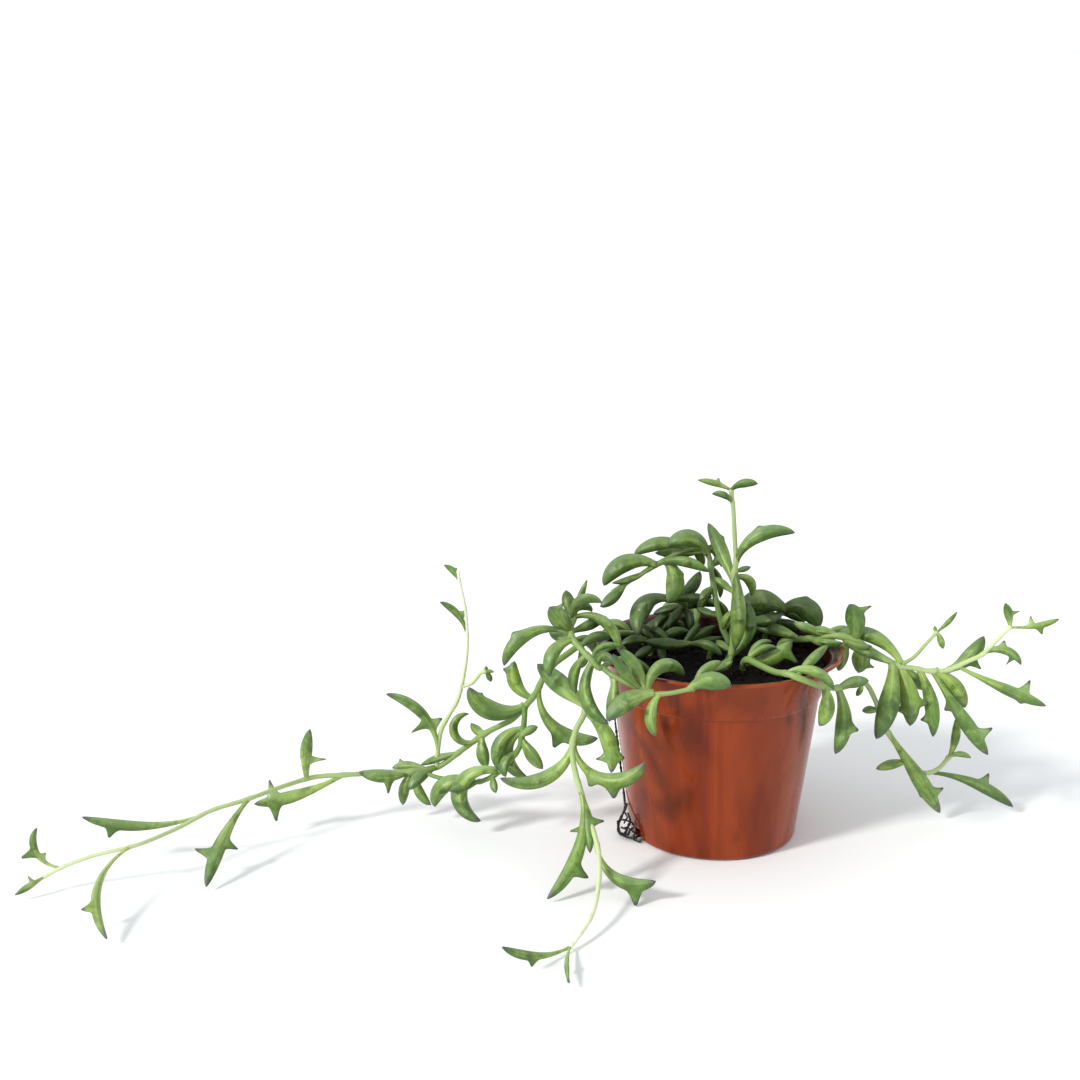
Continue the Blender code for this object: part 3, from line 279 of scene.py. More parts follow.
PLANT["left_rim_shoot"] = Shoot((-30, -18), 0.1, [
    Stem(1.35, 1.0, (0.1, 0.35), [
        (634, 660, -26), (622, 659, -33), (610, 662, -40), (600, 668, -44), (592, 660, -43),
        (582, 650, -40), (571, 635, -34), (574, 614, -28)]),
    Stem(1.15, 0.9, (0.2, 0.3), [
        (602, 667, -43), (612, 675, -46), (625, 682, -49), (640, 689, -51), (650, 694, -52),
        (671, 693, -55), (694, 688, -56)]),
], [
    Leaf((571, 634), (530, 633), (504, 666), 13, -4, [(513, 632)]),
    Leaf((571, 637), (560, 638), (549, 632), 9, 6),
    Leaf((574, 620), (579, 600), (587, 580), 7, 3),
    Leaf((574, 618), (568, 603), (566, 590), 13, 6),
    Leaf((576, 617), (604, 621), (619, 653), 11, -9),
    Leaf((573, 632), (561, 620), (549, 607), 18, -4, [(560, 600)]),
    Leaf((576, 620), (588, 598), (602, 603), 11, -3),
    Leaf((573, 630), (590, 624), (606, 616), 11, 6),
    Leaf((574, 640), (588, 640), (594, 654), 11, 8),
    Leaf((580, 648), (594, 637), (612, 638), 11, 6),
    Leaf((572, 642), (553, 654), (550, 677), 14, -9),
    Leaf((577, 643), (583, 656), (576, 668), 9, 5),
    Leaf((594, 657), (603, 646), (621, 647), 7, -5),
    Leaf((600, 666), (606, 656), (615, 664), 9, -10),
    Leaf((592, 663), (586, 694), (609, 724), 14, -7),
    Leaf((613, 676), (614, 698), (609, 722), 13, -6),
    Leaf((586, 655), (575, 672), (576, 693), 11, 3),
    Leaf((649, 692), (661, 666), (684, 677), 14, 10),
    Leaf((645, 691), (635, 668), (619, 649), 14, 6),
    Leaf((640, 689), (624, 673), (613, 654), 11, -6),
    Leaf((695, 687), (704, 671), (722, 662), 11, 6),
    Leaf((692, 690), (713, 680), (731, 687), 19, -3),
    Leaf((652, 696), (627, 702), (607, 721), 20, -8),
    Leaf((662, 696), (651, 715), (656, 736), 12, -6),
    Leaf((586, 655), (582, 664), (572, 666), 8, 4),
    Leaf((575, 612), (584, 606), (592, 612), 8, 5),
])

PLANT["front_trailer"] = Shoot((-38, 2), 0.0, [
    Stem(1.5, 0.8, (0.1, 0.95), [
        (618, 646, -4), (605, 650, -16), (594, 660, -27), (588, 680, -33), (585, 711, -37),
        (576, 730, -39), (572, 751, -41), (576, 775, -44), (581, 792, -47), (586, 811, -51),
        (594, 833, -58), (599, 856, -66), (599, 881, -76), (595, 906, -89), (589, 921, -97),
        (579, 936, -105), (570, 947, -110)]),
], [
    Leaf((571, 739), (547, 778), (500, 778), 15, -3),
    Leaf((575, 744), (602, 779), (645, 762), 15, -12, [(584, 779), (613, 798)]),
    Leaf((587, 710), (608, 739), (611, 773), 15, -10, [(597, 764), (622, 766)]),
    Leaf((577, 785), (580, 845), (547, 899), 13, -22, [(588, 878)]),
    Leaf((582, 795), (588, 825), (590, 853), 11, -14, [(570, 831), (604, 821)]),
    Leaf((597, 845), (616, 878), (656, 881), 13, 3, [(637, 905)]),
    Leaf((568, 948), (536, 956), (502, 947), 9, -1, [(530, 966)]),
    Leaf((568, 948), (567, 965), (569, 983), 5, -23),
    Leaf((587, 708), (563, 688), (537, 664), 20, -5),
])

PLANT["long_runner"] = Shoot((-30, 26), 0.05, [
    Stem(1.5, 0.75, (0.0, 0.8), [
        (630, 634, 16), (606, 634, 5), (594, 636, 0), (570, 652, -6), (548, 670, -10), (535, 694, -9),
        (515, 717, -7), (486, 733, -2), (462, 750, 2), (440, 766, 6), (420, 771, 5), (393, 772, 3),
        (343, 775, -1), (315, 777, -3), (290, 784, -10), (245, 800, -25), (210, 811, -32), (182, 826, -40),
        (153, 839, -51), (130, 847, -57), (96, 855, -59), (65, 866, -62), (44, 877, -64)]),
    Stem(1.2, 0.9, (0.0, 0.1), [
        (527, 706, -8), (524, 723, -14), (522, 735, -17), (518, 750, -18), (501, 770, -16),
        (485, 780, -12), (470, 782, -8), (440, 778, -3), (421, 771, 5)]),
    Stem(1.05, 0.7, (0.6, 1.0), [
        (436, 765, 6), (441, 731, 6), (458, 699, 4), (464, 674, 2), (467, 647, 0), (466, 616, 0),
        (463, 598, -1), (460, 585, -2), (458, 571, -3)]),
    Stem(0.9, 0.7, (0.8, 0.7), [
        (463, 688, 3), (472, 683, 2), (481, 673, 0), (486, 671, -1)]),
], [
    Leaf((44, 877), (31, 885), (15, 895), 6, -7, [(32, 875)]),
    Leaf((60, 866), (37, 854), (37, 828), 7, -2, [(22, 856), (46, 862)]),
    Leaf((128, 851), (97, 890), (107, 939), 9, -45, [(82, 908)]),
    Leaf((203, 815), (142, 826), (82, 817), 10, -7, [(108, 837)]),
    Leaf((252, 804), (222, 841), (206, 887), 13, -39, [(195, 850), (238, 849)]),
    Leaf((345, 778), (300, 794), (254, 804), 12, -10, [(276, 821), (266, 781)]),
    Leaf((305, 778), (306, 755), (310, 729), 11, 1, [(324, 767)]),
    Leaf((411, 774), (386, 776), (359, 772), 12, -6, [(390, 793)]),
    Leaf((425, 769), (409, 766), (392, 768), 9, 6, [(399, 759)]),
    Leaf((411, 771), (405, 788), (403, 805), 11, 1),
    Leaf((416, 772), (419, 790), (431, 805), 10, -4),
    Leaf((436, 771), (420, 777), (409, 790), 13, -9),
    Leaf((472, 781), (446, 785), (435, 807), 16, 3),
    Leaf((497, 768), (463, 783), (481, 821), 17, 4),
    Leaf((458, 756), (440, 758), (421, 765), 8, 5),
    Leaf((480, 781), (463, 787), (449, 791), 10, -7),
    Leaf((494, 777), (494, 785), (496, 793), 8, -6),
    Leaf((434, 757), (424, 716), (386, 694), 10, -4, [(412, 733), (441, 733)]),
    Leaf((528, 706), (498, 712), (469, 687), 18, -3, [(483, 694)]),
    Leaf((477, 739), (453, 727), (469, 714), 9, 3),
    Leaf((482, 738), (483, 752), (487, 768), 13, -5),
    Leaf((515, 727), (499, 746), (502, 771), 13, -4),
    Leaf((513, 730), (508, 756), (528, 778), 13, 5),
    Leaf((521, 738), (531, 753), (543, 769), 13, -6),
    Leaf((488, 737), (479, 732), (471, 723), 9, 5),
    Leaf((524, 738), (529, 730), (538, 727), 9, -4),
    Leaf((513, 752), (505, 763), (506, 777), 10, -6),
    Leaf((545, 688), (556, 729), (598, 738), 14, -7, [(552, 746)]),
    Leaf((529, 698), (515, 682), (515, 661), 13, 3, [(503, 669)]),
    Leaf((552, 668), (563, 684), (580, 694), 12, 6),
    Leaf((460, 583), (455, 573), (444, 565), 6, -1, [(457, 568)]),
    Leaf((464, 636), (458, 615), (440, 602), 7, -2, [(467, 611)]),
    Leaf((486, 671), (486, 669), (486, 666), 4, 0),
    Leaf((484, 671), (489, 671), (494, 672), 4, -2),
    Leaf((485, 672), (489, 676), (491, 682), 6, 2),
    Leaf((634, 631), (619, 624), (602, 625), 8, 2),
])

PLANT["upright_shoot"] = Shoot((4, -4), 0.15, [
    Stem(1.35, 0.85, (0.35, 0.55), [
        (731, 655, -4), (733, 640, -4), (735, 610, -4), (734, 577, -3), (736, 562, -2), (735, 542, 0),
        (734, 521, 1), (733, 506, 2), (731, 490, 3)]),
], [
    Leaf((729, 490), (714, 483), (698, 480), 6, 3, [(719, 478)]),
    Leaf((733, 491), (743, 483), (758, 484), 9, -3),
    Leaf((731, 503), (723, 495), (712, 494), 7, -4),
    Leaf((738, 561), (760, 535), (795, 533), 13, -4, [(758, 526)]),
    Leaf((737, 572), (743, 569), (751, 567), 6, 4),
    Leaf((736, 576), (750, 581), (751, 596), 10, 8),
    Leaf((736, 571), (739, 607), (735, 650), 16, -9),
    Leaf((735, 655), (748, 632), (746, 602), 13, 4),
    Leaf((734, 592), (724, 585), (714, 577), 8, 6),
    Leaf((733, 580), (720, 548), (708, 523), 13, 20, [(724, 537)]),
    Leaf((733, 655), (726, 665), (714, 671), 10, -5),
    Leaf((733, 640), (742, 634), (748, 624), 9, 6),
    Leaf((733, 650), (722, 646), (716, 640), 9, 6),
    Leaf((735, 612), (727, 618), (723, 630), 8, 8),
])

PLANT["right_lower_shoot"] = Shoot((10, -9), 0.05, [
    Stem(1.4, 0.95, (0.2, 0.6), [
        (748, 660, -16), (759, 665, -26), (775, 672, -39), (788, 674, -47), (804, 680, -49),
        (821, 686, -43), (838, 688, -34), (855, 684, -26), (866, 684, -18), (876, 702, -9), (885, 728, -4),
        (899, 748, 0), (914, 768, 3), (927, 773, 4), (939, 768, 4), (949, 757, 4)]),
], [
    Leaf((744, 657), (760, 650), (777, 648), 9, 4),
    Leaf((745, 660), (771, 658), (792, 641), 15, 5, [(799, 663)]),
    Leaf((786, 675), (811, 670), (834, 690), 11, -4),
    Leaf((824, 687), (828, 706), (819, 726), 16, -4),
    Leaf((837, 688), (844, 720), (835, 754), 15, -7, [(858, 731)]),
    Leaf((797, 676), (813, 658), (828, 645), 10, 8),
    Leaf((746, 658), (758, 645), (772, 642), 8, 9),
    Leaf((877, 711), (870, 710), (862, 711), 8, -3),
    Leaf((863, 687), (860, 691), (856, 696), 6, 3),
    Leaf((887, 732), (914, 771), (940, 813), 15, 8, [(944, 789), (919, 795)]),
    Leaf((905, 764), (891, 765), (876, 769), 10, -5),
    Leaf((951, 757), (955, 738), (956, 718), 9, 3),
    Leaf((952, 757), (962, 754), (971, 758), 6, -3),
    Leaf((930, 774), (974, 783), (1013, 807), 11, 7, [(988, 773)]),
    Leaf((838, 686), (852, 682), (869, 681), 12, 4),
])

PLANT["right_runner"] = Shoot((30, 20), 0.0, [
    Stem(1.45, 0.85, (0.05, 0.8), [
        (792, 640, 17), (806, 639, 12), (822, 637, 6), (838, 636, 2), (855, 640, 1), (880, 655, 0),
        (899, 666, -2), (914, 668, -3), (929, 671, -4), (948, 670, -5), (966, 662, -6), (983, 654, -6),
        (997, 640, -6), (1010, 627, -6)]),
    Stem(0.85, 0.65, (0.3, 0.6), [
        (899, 666, -2), (914, 657, -3), (925, 645, -4), (937, 632, -5)]),
], [
    Leaf((856, 643), (856, 623), (849, 604), 18, -4, [(871, 606)]),
    Leaf((800, 639), (779, 631), (754, 629), 12, 8),
    Leaf((826, 636), (811, 630), (793, 623), 10, 4),
    Leaf((838, 637), (824, 631), (806, 633), 9, 6),
    Leaf((810, 639), (826, 643), (843, 643), 9, -4),
    Leaf((822, 637), (838, 630), (857, 634), 10, 3),
    Leaf((842, 637), (856, 645), (872, 646), 9, -4),
    Leaf((900, 664), (880, 641), (836, 634), 15, 8),
    Leaf((897, 666), (873, 655), (846, 645), 10, 2),
    Leaf((937, 632), (948, 622), (957, 612), 5, 2),
    Leaf((937, 632), (941, 640), (943, 649), 7, -4),
    Leaf((937, 631), (935, 629), (935, 626), 4, 1),
    Leaf((892, 667), (889, 703), (876, 739), 19, -12, [(899, 708)]),
    Leaf((857, 644), (861, 658), (858, 673), 17, 8, [(874, 667)]),
    Leaf((846, 641), (843, 657), (838, 671), 12, 8),
    Leaf((899, 670), (909, 695), (910, 726), 18, -9, [(897, 711), (928, 701)]),
    Leaf((920, 668), (930, 698), (933, 737), 13, -6, [(921, 721)]),
    Leaf((950, 673), (967, 659), (984, 636), 14, 4, [(980, 669)]),
    Leaf((934, 673), (953, 685), (965, 708), 18, 2),
    Leaf((933, 674), (960, 714), (988, 755), 14, -9, [(992, 728), (945, 711)]),
    Leaf((958, 670), (1003, 688), (1046, 706), 11, -4, [(1029, 680), (1019, 703)]),
    Leaf((901, 668), (914, 678), (927, 690), 13, 5),
    Leaf((1010, 628), (1009, 616), (1005, 603), 8, 2, [(1019, 611)]),
    Leaf((1011, 629), (1036, 626), (1059, 619), 6, -4, [(1032, 616), (1043, 634)]),
    Leaf((984, 653), (1004, 650), (1021, 665), 8, -3, [(1006, 641), (1006, 665)]),
])

PLANT["arching_shoot"] = Shoot((-2, 6), 0.35, [
    Stem(1.3, 0.9, (0.1, 0.3), [
        (728, 646, 3), (723, 629, 5), (718, 610, 7), (714, 590, 9), (711, 570, 10), (709, 557, 11),
        (702, 549, 11), (690, 548, 11), (665, 560, 10), (646, 571, 8), (628, 582, 5), (612, 592, 2)]),
], [
    Leaf((709, 552), (692, 539), (668, 547), 17, -3),
    Leaf((690, 549), (660, 544), (634, 555), 14, 2),
    Leaf((704, 551), (680, 553), (655, 553), 11, 6),
    Leaf((655, 560), (684, 561), (709, 572), 11, -8),
    Leaf((655, 566), (628, 563), (604, 586), 18, -4),
    Leaf((652, 572), (634, 578), (612, 583), 7, -6),
    Leaf((628, 585), (614, 597), (600, 607), 12, -5),
    Leaf((664, 559), (675, 579), (667, 603), 17, -5, [(684, 575)]),
    Leaf((713, 586), (706, 593), (700, 601), 8, -5),
    Leaf((712, 566), (720, 556), (722, 542), 11, 6),
    Leaf((716, 600), (724, 610), (727, 624), 9, 6),
    Leaf((719, 618), (708, 613), (696, 608), 8, 5),
    Leaf((712, 565), (719, 579), (720, 598), 8, 9),
    Leaf((722, 630), (730, 622), (734, 612), 8, 8),
    Leaf((713, 590), (704, 600), (700, 612), 9, 6),
    Leaf((690, 548), (700, 556), (703, 566), 9, 6),
    Leaf((704, 549), (717, 550), (721, 567), 13, -5),
])

PLANT["centre_shoot"] = Shoot((-27, 10), 0.75, [
    Stem(1.3, 1.0, (0.1, 0.3), [
        (653, 644, 9), (666, 641, 5), (680, 643, 2), (690, 644, 0)]),
], [
    Leaf((694, 645), (672, 645), (645, 641), 12, -5),
    Leaf((672, 646), (697, 643), (723, 637), 11, 3),
    Leaf((653, 642), (637, 640), (620, 646), 10, 2),
    Leaf((664, 643), (662, 652), (664, 661), 9, -7),
    Leaf((690, 644), (708, 645), (722, 655), 10, -3),
    Leaf((660, 642), (672, 633), (690, 633), 11, 6),
    Leaf((656, 642), (648, 632), (636, 626), 10, 6),
    Leaf((653, 644), (645, 652), (634, 657), 10, -6),
    Leaf((682, 643), (700, 634), (716, 626), 10, 8),
    Leaf((684, 643), (692, 633), (700, 623), 8, 5),
    Leaf((668, 641), (660, 633), (649, 628), 8, 5),
])

PLANT["right_crown"] = Shoot((24, 26), 0.65, [
    Stem(1.4, 1.0, (0.1, 0.3), [
        (768, 628, 26), (775, 617, 25), (785, 610, 23)]),
], [
    Leaf((787, 609), (764, 602), (740, 606), 23, -4),
    Leaf((784, 611), (769, 620), (748, 621), 13, -8),
    Leaf((785, 613), (805, 608), (816, 629), 20, -6, [(806, 596)]),
    Leaf((773, 622), (788, 624), (803, 630), 11, -6),
    Leaf((780, 613), (793, 615), (805, 622), 9, 6),
    Leaf((770, 625), (759, 629), (748, 637), 11, -8),
    Leaf((768, 628), (755, 622), (745, 612), 10, 8),
    Leaf((771, 624), (762, 631), (750, 633), 10, 3),
    Leaf((776, 616), (763, 612), (748, 614), 10, 8),
])

PLANT["back_left_shoot"] = Shoot((-18, 32), 0.6, [
    Stem(1.4, 1.0, (0.1, 0.3), [
        (667, 622, 32), (680, 611, 30), (684, 604, 26), (675, 600, 22), (662, 598, 18), (648, 602, 15)]),
], [
    Leaf((674, 600), (690, 588), (700, 571), 13, 5),
    Leaf((668, 600), (641, 610), (639, 636), 18, -5),
    Leaf((660, 611), (645, 614), (636, 629), 9, -7),
    Leaf((675, 601), (693, 598), (715, 606), 12, -5),
    Leaf((682, 606), (690, 617), (689, 631), 9, -5),
    Leaf((682, 608), (698, 603), (712, 596), 9, 2),
    Leaf((672, 618), (657, 624), (642, 634), 11, -4),
    Leaf((670, 620), (684, 626), (700, 628), 10, 5),
    Leaf((666, 624), (650, 630), (632, 628), 10, 3),
    Leaf((684, 606), (676, 616), (668, 628), 10, -3),
    Leaf((668, 612), (660, 620), (656, 632), 9, -6),
    Leaf((684, 605), (670, 609), (653, 614), 9, 4),
    Leaf((683, 606), (704, 602), (724, 606), 9, 7),
    Leaf((680, 612), (667, 624), (650, 636), 9, -3),
    Leaf((676, 615), (689, 623), (694, 636), 8, -4),
])

PLANT["back_shoot_left"] = Shoot((-7, 37), 0.3, [
    Stem(1.6, 1.1, (0.1, 0.3), [
        (697, 614, 44), (690, 602, 50), (684, 601, 57), (680, 622, 64), (678, 655, 66), (676, 690, 64)]),
], [
    Leaf((685, 602), (672, 606), (664, 622), 13, 8),
    Leaf((683, 606), (696, 612), (704, 630), 13, 9),
    Leaf((681, 616), (672, 632), (660, 642), 12, 6),
    Leaf((680, 632), (694, 640), (698, 662), 12, 10),
    Leaf((679, 650), (668, 662), (664, 680), 11, 8),
    Leaf((677, 680), (684, 694), (680, 714), 10, 4),
])

PLANT["back_shoot_right"] = Shoot((11, 36), 0.3, [
    Stem(1.6, 1.1, (0.1, 0.3), [
        (738, 612, 44), (746, 602, 50), (752, 602, 57), (757, 622, 64), (759, 660, 66), (758, 700, 63),
        (754, 735, 58)]),
], [
    Leaf((750, 602), (760, 608), (772, 624), 13, 9),
    Leaf((754, 608), (744, 614), (738, 632), 13, 8),
    Leaf((757, 622), (768, 634), (778, 648), 12, 6),
    Leaf((758, 640), (748, 652), (742, 672), 12, 9),
    Leaf((759, 662), (770, 676), (772, 698), 11, 6),
    Leaf((758, 698), (748, 712), (746, 730), 11, 5),
    Leaf((755, 732), (760, 746), (756, 760), 9, 3),
])

# Places of the dry roots in the view, each with its depth behind the pot's axis
DRY_ROOT_LOOP = [
    (636, 838.5, -17), (624, 836, -12), (618, 830, -9), (620, 820, -6), (624, 811, -5), (625, 804, -4)]
DRY_ROOT_BRANCH = [(627, 829, -12), (630, 821, -12), (628, 813, -9)]
DRY_CURLS = [
    [(638, 840, -17), (629, 838, -15), (619, 832, -12), (617, 825, -10), (622, 819, -9), (630, 821, -11),
     (633, 828, -13), (628, 834, -14), (621, 832, -12)],
    [(626, 822, -10), (627, 814, -8), (622, 809, -6), (626, 804, -5), (624, 812, -7)],
    [(636, 838, -17), (634, 830, -14), (627, 826, -12), (621, 827, -11)],
]


# Places in the view

def seen(right, down, behind):
    """The point at a pixel of the view that lies the given depth behind the pot's axis."""
    across = (right - IMAGE_MIDDLE) / FOCAL_PIXELS
    up = (IMAGE_MIDDLE - down) / FOCAL_PIXELS
    ray = Vector((across, LOOK_COSINE + up * LOOK_SINE, up * LOOK_COSINE - LOOK_SINE))
    return EYE + ray * ((behind - EYE.y) / ray.y)


def pixel_of(point):
    """The pixel at which a point is seen."""
    offset = point - EYE
    depth = offset.y * LOOK_COSINE - offset.z * LOOK_SINE
    up = offset.y * LOOK_SINE + offset.z * LOOK_COSINE
    right = IMAGE_MIDDLE + FOCAL_PIXELS * offset.x / depth
    down = IMAGE_MIDDLE - FOCAL_PIXELS * up / depth
    return Vector((right, down))


def size_of_pixel(point):
    """How many millimetres a pixel spans at a point."""
    offset = point - EYE
    return (offset.y * LOOK_COSINE - offset.z * LOOK_SINE) / FOCAL_PIXELS


# Where the stems and leaves run

def smooth_path(points, spacing):
    """Points at about the given spacing on a smooth curve through the given ones."""
    path = []
    last = len(points) - 1
    for index in range(last):
        start, end = points[index], points[index + 1]
        before = points[index - 1] if index else start * 2 - end
        after = points[index + 2] if index + 2 <= last else end * 2 - start
        count = max(1, round((end - start).length / spacing))
        for step in range(count):
            t = step / count
            path.append(0.5 * (2 * start + (end - before) * t
                               + (2 * before - 5 * start + 4 * end - after) * t ** 2
                               + (3 * start - before - 3 * end + after) * t ** 3))
    path.append(points[-1].copy())
    return path


def nearest_place(paths, pixel):
    """The point of the given stem paths that is seen nearest to a pixel."""
    spots = [start.lerp(end, step / STEM_SPOTS)
             for path in paths
             for start, end in zip(path, path[1:])
             for step in range(STEM_SPOTS + 1)]
    return min(spots, key=lambda spot: (pixel_of(spot) - Vector(pixel)).length)


def stem_paths(shoot):
    """The path of each stem: the first from its hole's bottom, the others from a stem before."""
    paths = []
    for stem in shoot.stems:
        places = [seen(*place) for place in stem.places]
        buried = []
        if paths:
            places[0] = nearest_place(paths, stem.places[0][:2])
        else:
            top = Vector((*shoot.root, SOIL_TOP + STEM_RISE))
            buried = [top - Vector((0, 0, STEM_RISE + HOLE_DEPTH - GAP))]
            places.insert(0, top)
        paths.append(buried + smooth_path(places, STEM_SPACING))
    return paths


def blade(along, slim):
    """Half the width of a leaf at a share of its length, as a share of its greatest."""
    stalk, bulge, lean = SLIM_BLADE if slim else FULL_BLADE
    leant = along ** lean
    swell = math.sin(math.pi * leant)
    if leant > 0.5:
        swell = max(0.0, swell) ** TIP_FULLNESS
    return stalk * (1 - along) + bulge * swell


def bow(root, middle, tip, along):
    """The point at a share of the round arc that runs from root to tip through middle."""
    first = middle - root
    chord = tip - root
    normal = first.cross(chord)
    if normal.length < STRAIGHT * first.length * chord.length:
        return root.lerp(tip, along)
    centre = root + ((chord * first.length_squared - first * chord.length_squared).cross(normal)
                     / (2 * normal.length_squared))
    turn = 2 * (math.pi - (root - middle).angle(tip - middle))
    return centre + Quaternion(normal, turn * along) @ (root - centre)


def spine_at(form, along):
    """The point of a leaf's midline at a share of its length."""
    return bow(form.root, form.middle, form.tip, along)


def seen_fins(leaf, root, middle, tip, scale):
    """Where along a leaf each fin that is seen stands, on which side, and how far its tip reaches out."""
    fins = []
    for fin in leaf.fins:
        place = min(FIN_PLACES, key=lambda at: (pixel_of(bow(root, middle, tip, at)) - Vector(fin)).length)
        spine = pixel_of(bow(root, middle, tip, place))
        heading = pixel_of(bow(root, middle, tip, place + HEADING_STEP)) - spine
        offset = Vector(fin) - spine
        side = 1 if heading.x * offset.y - heading.y * offset.x > 0 else -1
        fins.append((place, side, offset.length * scale))
    return fins


def leaf_form(leaf, paths, bend):
    """Where a leaf runs in space, half its width in millimetres, and its fins.

    A leaf with seen fins faces the viewer. One without is turned edge on, and a long one of these has fins
    that point to and from the viewer.
    """
    root = nearest_place(paths, leaf.root)
    middle = seen(*leaf.middle, root.y + MIDDLE_BACK * (leaf.back + bend))
    tip = seen(*leaf.tip, root.y + leaf.back + bend)
    scale = size_of_pixel(middle)
    half = leaf.width / 2 * scale * WIDTH_GAIN
    length = (middle - root).length + (tip - middle).length
    edge_on = not leaf.fins
    fins = seen_fins(leaf, root, middle, tip, scale)
    if edge_on and length > FINNED_LEAF:
        fins = [(DEFAULT_FIN_PLACE, side, half * DEFAULT_FIN_REACH) for side in (-1, 1)]
    return LeafForm(root, middle, tip, half, length, fins, edge_on)


def fin_spans(form):
    """The shares of a leaf's length over which its fins rise before their tips and fall after them."""
    return min(FIN_START_SHARE, FIN_START / form.length), min(FIN_END_SHARE, FIN_END / form.length)


def section_at(form, station):
    """A leaf's midline point at a share of its length, its directions across and through, and half sizes."""
    spine = spine_at(form, station)
    heading = (spine_at(form, station + HEADING_STEP) - spine_at(form, station - HEADING_STEP)).normalized()
    across = (spine - EYE).normalized().cross(heading).normalized()
    facing = heading.cross(across)
    slim = not form.turned and form.length > SLIM_LENGTH * form.half
    wide = max(form.half * blade(station, slim), STALK_HALF)
    if form.turned:
        return spine, facing, -across, max(wide * TURNED_SHARE, THINNEST_HALF), wide
    return spine, across, facing, wide, max(wide * THICKNESS_SHARE, THINNEST_HALF)


def search_tree(places):
    """A search tree of points."""
    tree = kdtree.KDTree(len(places))
    for index, place in enumerate(places):
        tree.insert(place, index)
    tree.balance()
    return tree


def forms_on(node, leaves, paths):
    """The forms of a shoot's leaves, each bent so that its tip lies where its node has a point."""
    corners = search_tree([vertex.co for vertex in node.data.vertices])
    forms = []
    for leaf in leaves:
        bent = [leaf_form(leaf, paths, bend) for bend in BENDS]
        forms.append(min(bent, key=lambda form: corners.find(form.tip * MM)[2]))
    return forms


# Skins

def place_in_scene(name, data):
    """A new object of a mesh, light or camera."""
    made = bpy.data.objects.new(name, data)
    bpy.context.scene.collection.objects.link(made)
    return made


def mesh_from(shape, name):
    """A mesh made from a finished bmesh, which is freed."""
    mesh = bpy.data.meshes.new(name)
    shape.to_mesh(mesh)
    shape.free()
    return mesh


def smooth_mesh(name, points, faces, material):
    """A smoothly shaded mesh of points in metres."""
    mesh = bpy.data.meshes.new(name)
    mesh.from_pydata(points, [], faces)
    mesh.materials.append(material)
    mesh.shade_smooth()
    return mesh


def settle(piece, node):
    """Makes a piece ride with the part in the place of its node."""
    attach(piece, "root")
    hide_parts(node)


class Skin:
    """The points, faces and painted values of a piece as it grows."""

    def __init__(self, painted=()):
        self.points = []
        self.faces = []
        self.values = {name: [] for name in painted}

    def add_loft(self, rings, values, start, end):
        """A closed skin over rings of equally many points, with a point closing each end."""
        rings = np.asarray(rings, dtype=float)
        count, sides = rings.shape[:2]
        first = sum(len(block) for block in self.points)
        self.points.append(np.concatenate([rings.reshape(-1, 3), [start, end]]))
        rows = first + np.arange(count)[:, None] * sides
        columns = np.arange(sides)[None, :]
        following = (columns + 1) % sides
        quads = np.stack([rows[:-1] + columns, rows[:-1] + following,
                          rows[1:] + following, rows[1:] + columns], axis=-1).reshape(-1, 4)
        start_point = first + count * sides
        last = rows[-1, 0]
        self.faces += quads.tolist()
        self.faces += [[start_point, first + following[0, side], first + side] for side in range(sides)]
        self.faces += [[start_point + 1, last + side, last + following[0, side]] for side in range(sides)]
        for name, kept in self.values.items():
            grid = np.broadcast_to(values[name], (count, sides))
            kept.append(np.concatenate([grid.reshape(-1), [grid[0].mean(), grid[-1].mean()]]))

    def as_object(self, name, material):
        """The finished piece."""
        mesh = smooth_mesh(name, (np.concatenate(self.points) * MM).tolist(), self.faces, material)
        for value, kept in self.values.items():
            layer = mesh.attributes.new(value, "FLOAT", "POINT")
            layer.data.foreach_set("value", np.concatenate(kept).astype(np.float32))
        return place_in_scene(name, mesh)


def circle(sides):
    """The cosines and sines of a ring's points."""
    angles = np.linspace(0.0, math.tau, sides, endpoint=False)
    return np.cos(angles), np.sin(angles)


def add_tube(skin, path, radii, sides, values):
    """A round skin along a path, its ring turned as little as it can be from one point to the next."""
    cosine, sine = circle(sides)
    rings = []
    neighbours = zip(path[:1] + path[:-1], path[1:] + path[-1:])
    headings = [(after - before).normalized() for before, after in neighbours]
    normal = headings[0].orthogonal().normalized()
    for point, heading, radius in zip(path, headings, radii):
        normal = (normal - heading * normal.dot(heading)).normalized()
        other = heading.cross(normal)
        rings.append(np.array(point) + radius * (np.outer(cosine, normal) + np.outer(sine, other)))
    start = path[0] - headings[0] * radii[0] * TUBE_START
    end = path[-1] + headings[-1] * radii[-1] * TUBE_END
    skin.add_loft(rings, values, start, end)


# Leafy shoots

def grow_stem(skin, path, knots, stem, values, seed):
    """A smooth stem with a swelling at each leaf's foot."""
    fine = smooth_path(path, STEM_STEP)
    places = np.array(fine)
    radii = np.linspace(stem.thick, stem.thin, len(fine))
    for knot in knots:
        apart = np.linalg.norm(places - np.array(knot), axis=1)
        radii = radii * (1 + KNOT_SWELL * np.exp(-(apart / KNOT_LENGTH) ** 2))
    radii = np.minimum(radii, stem.thick * (1 + KNOT_SWELL))
    turns, bump = STEM_BUMPS
    radii += [bump * noise.noise(point * turns + Vector((seed, 0, 0))) for point in fine]
    along = np.linspace(*stem.pale, len(fine))[:, None]
    add_tube(skin, fine, radii, STEM_RING, {**values, "along": along})


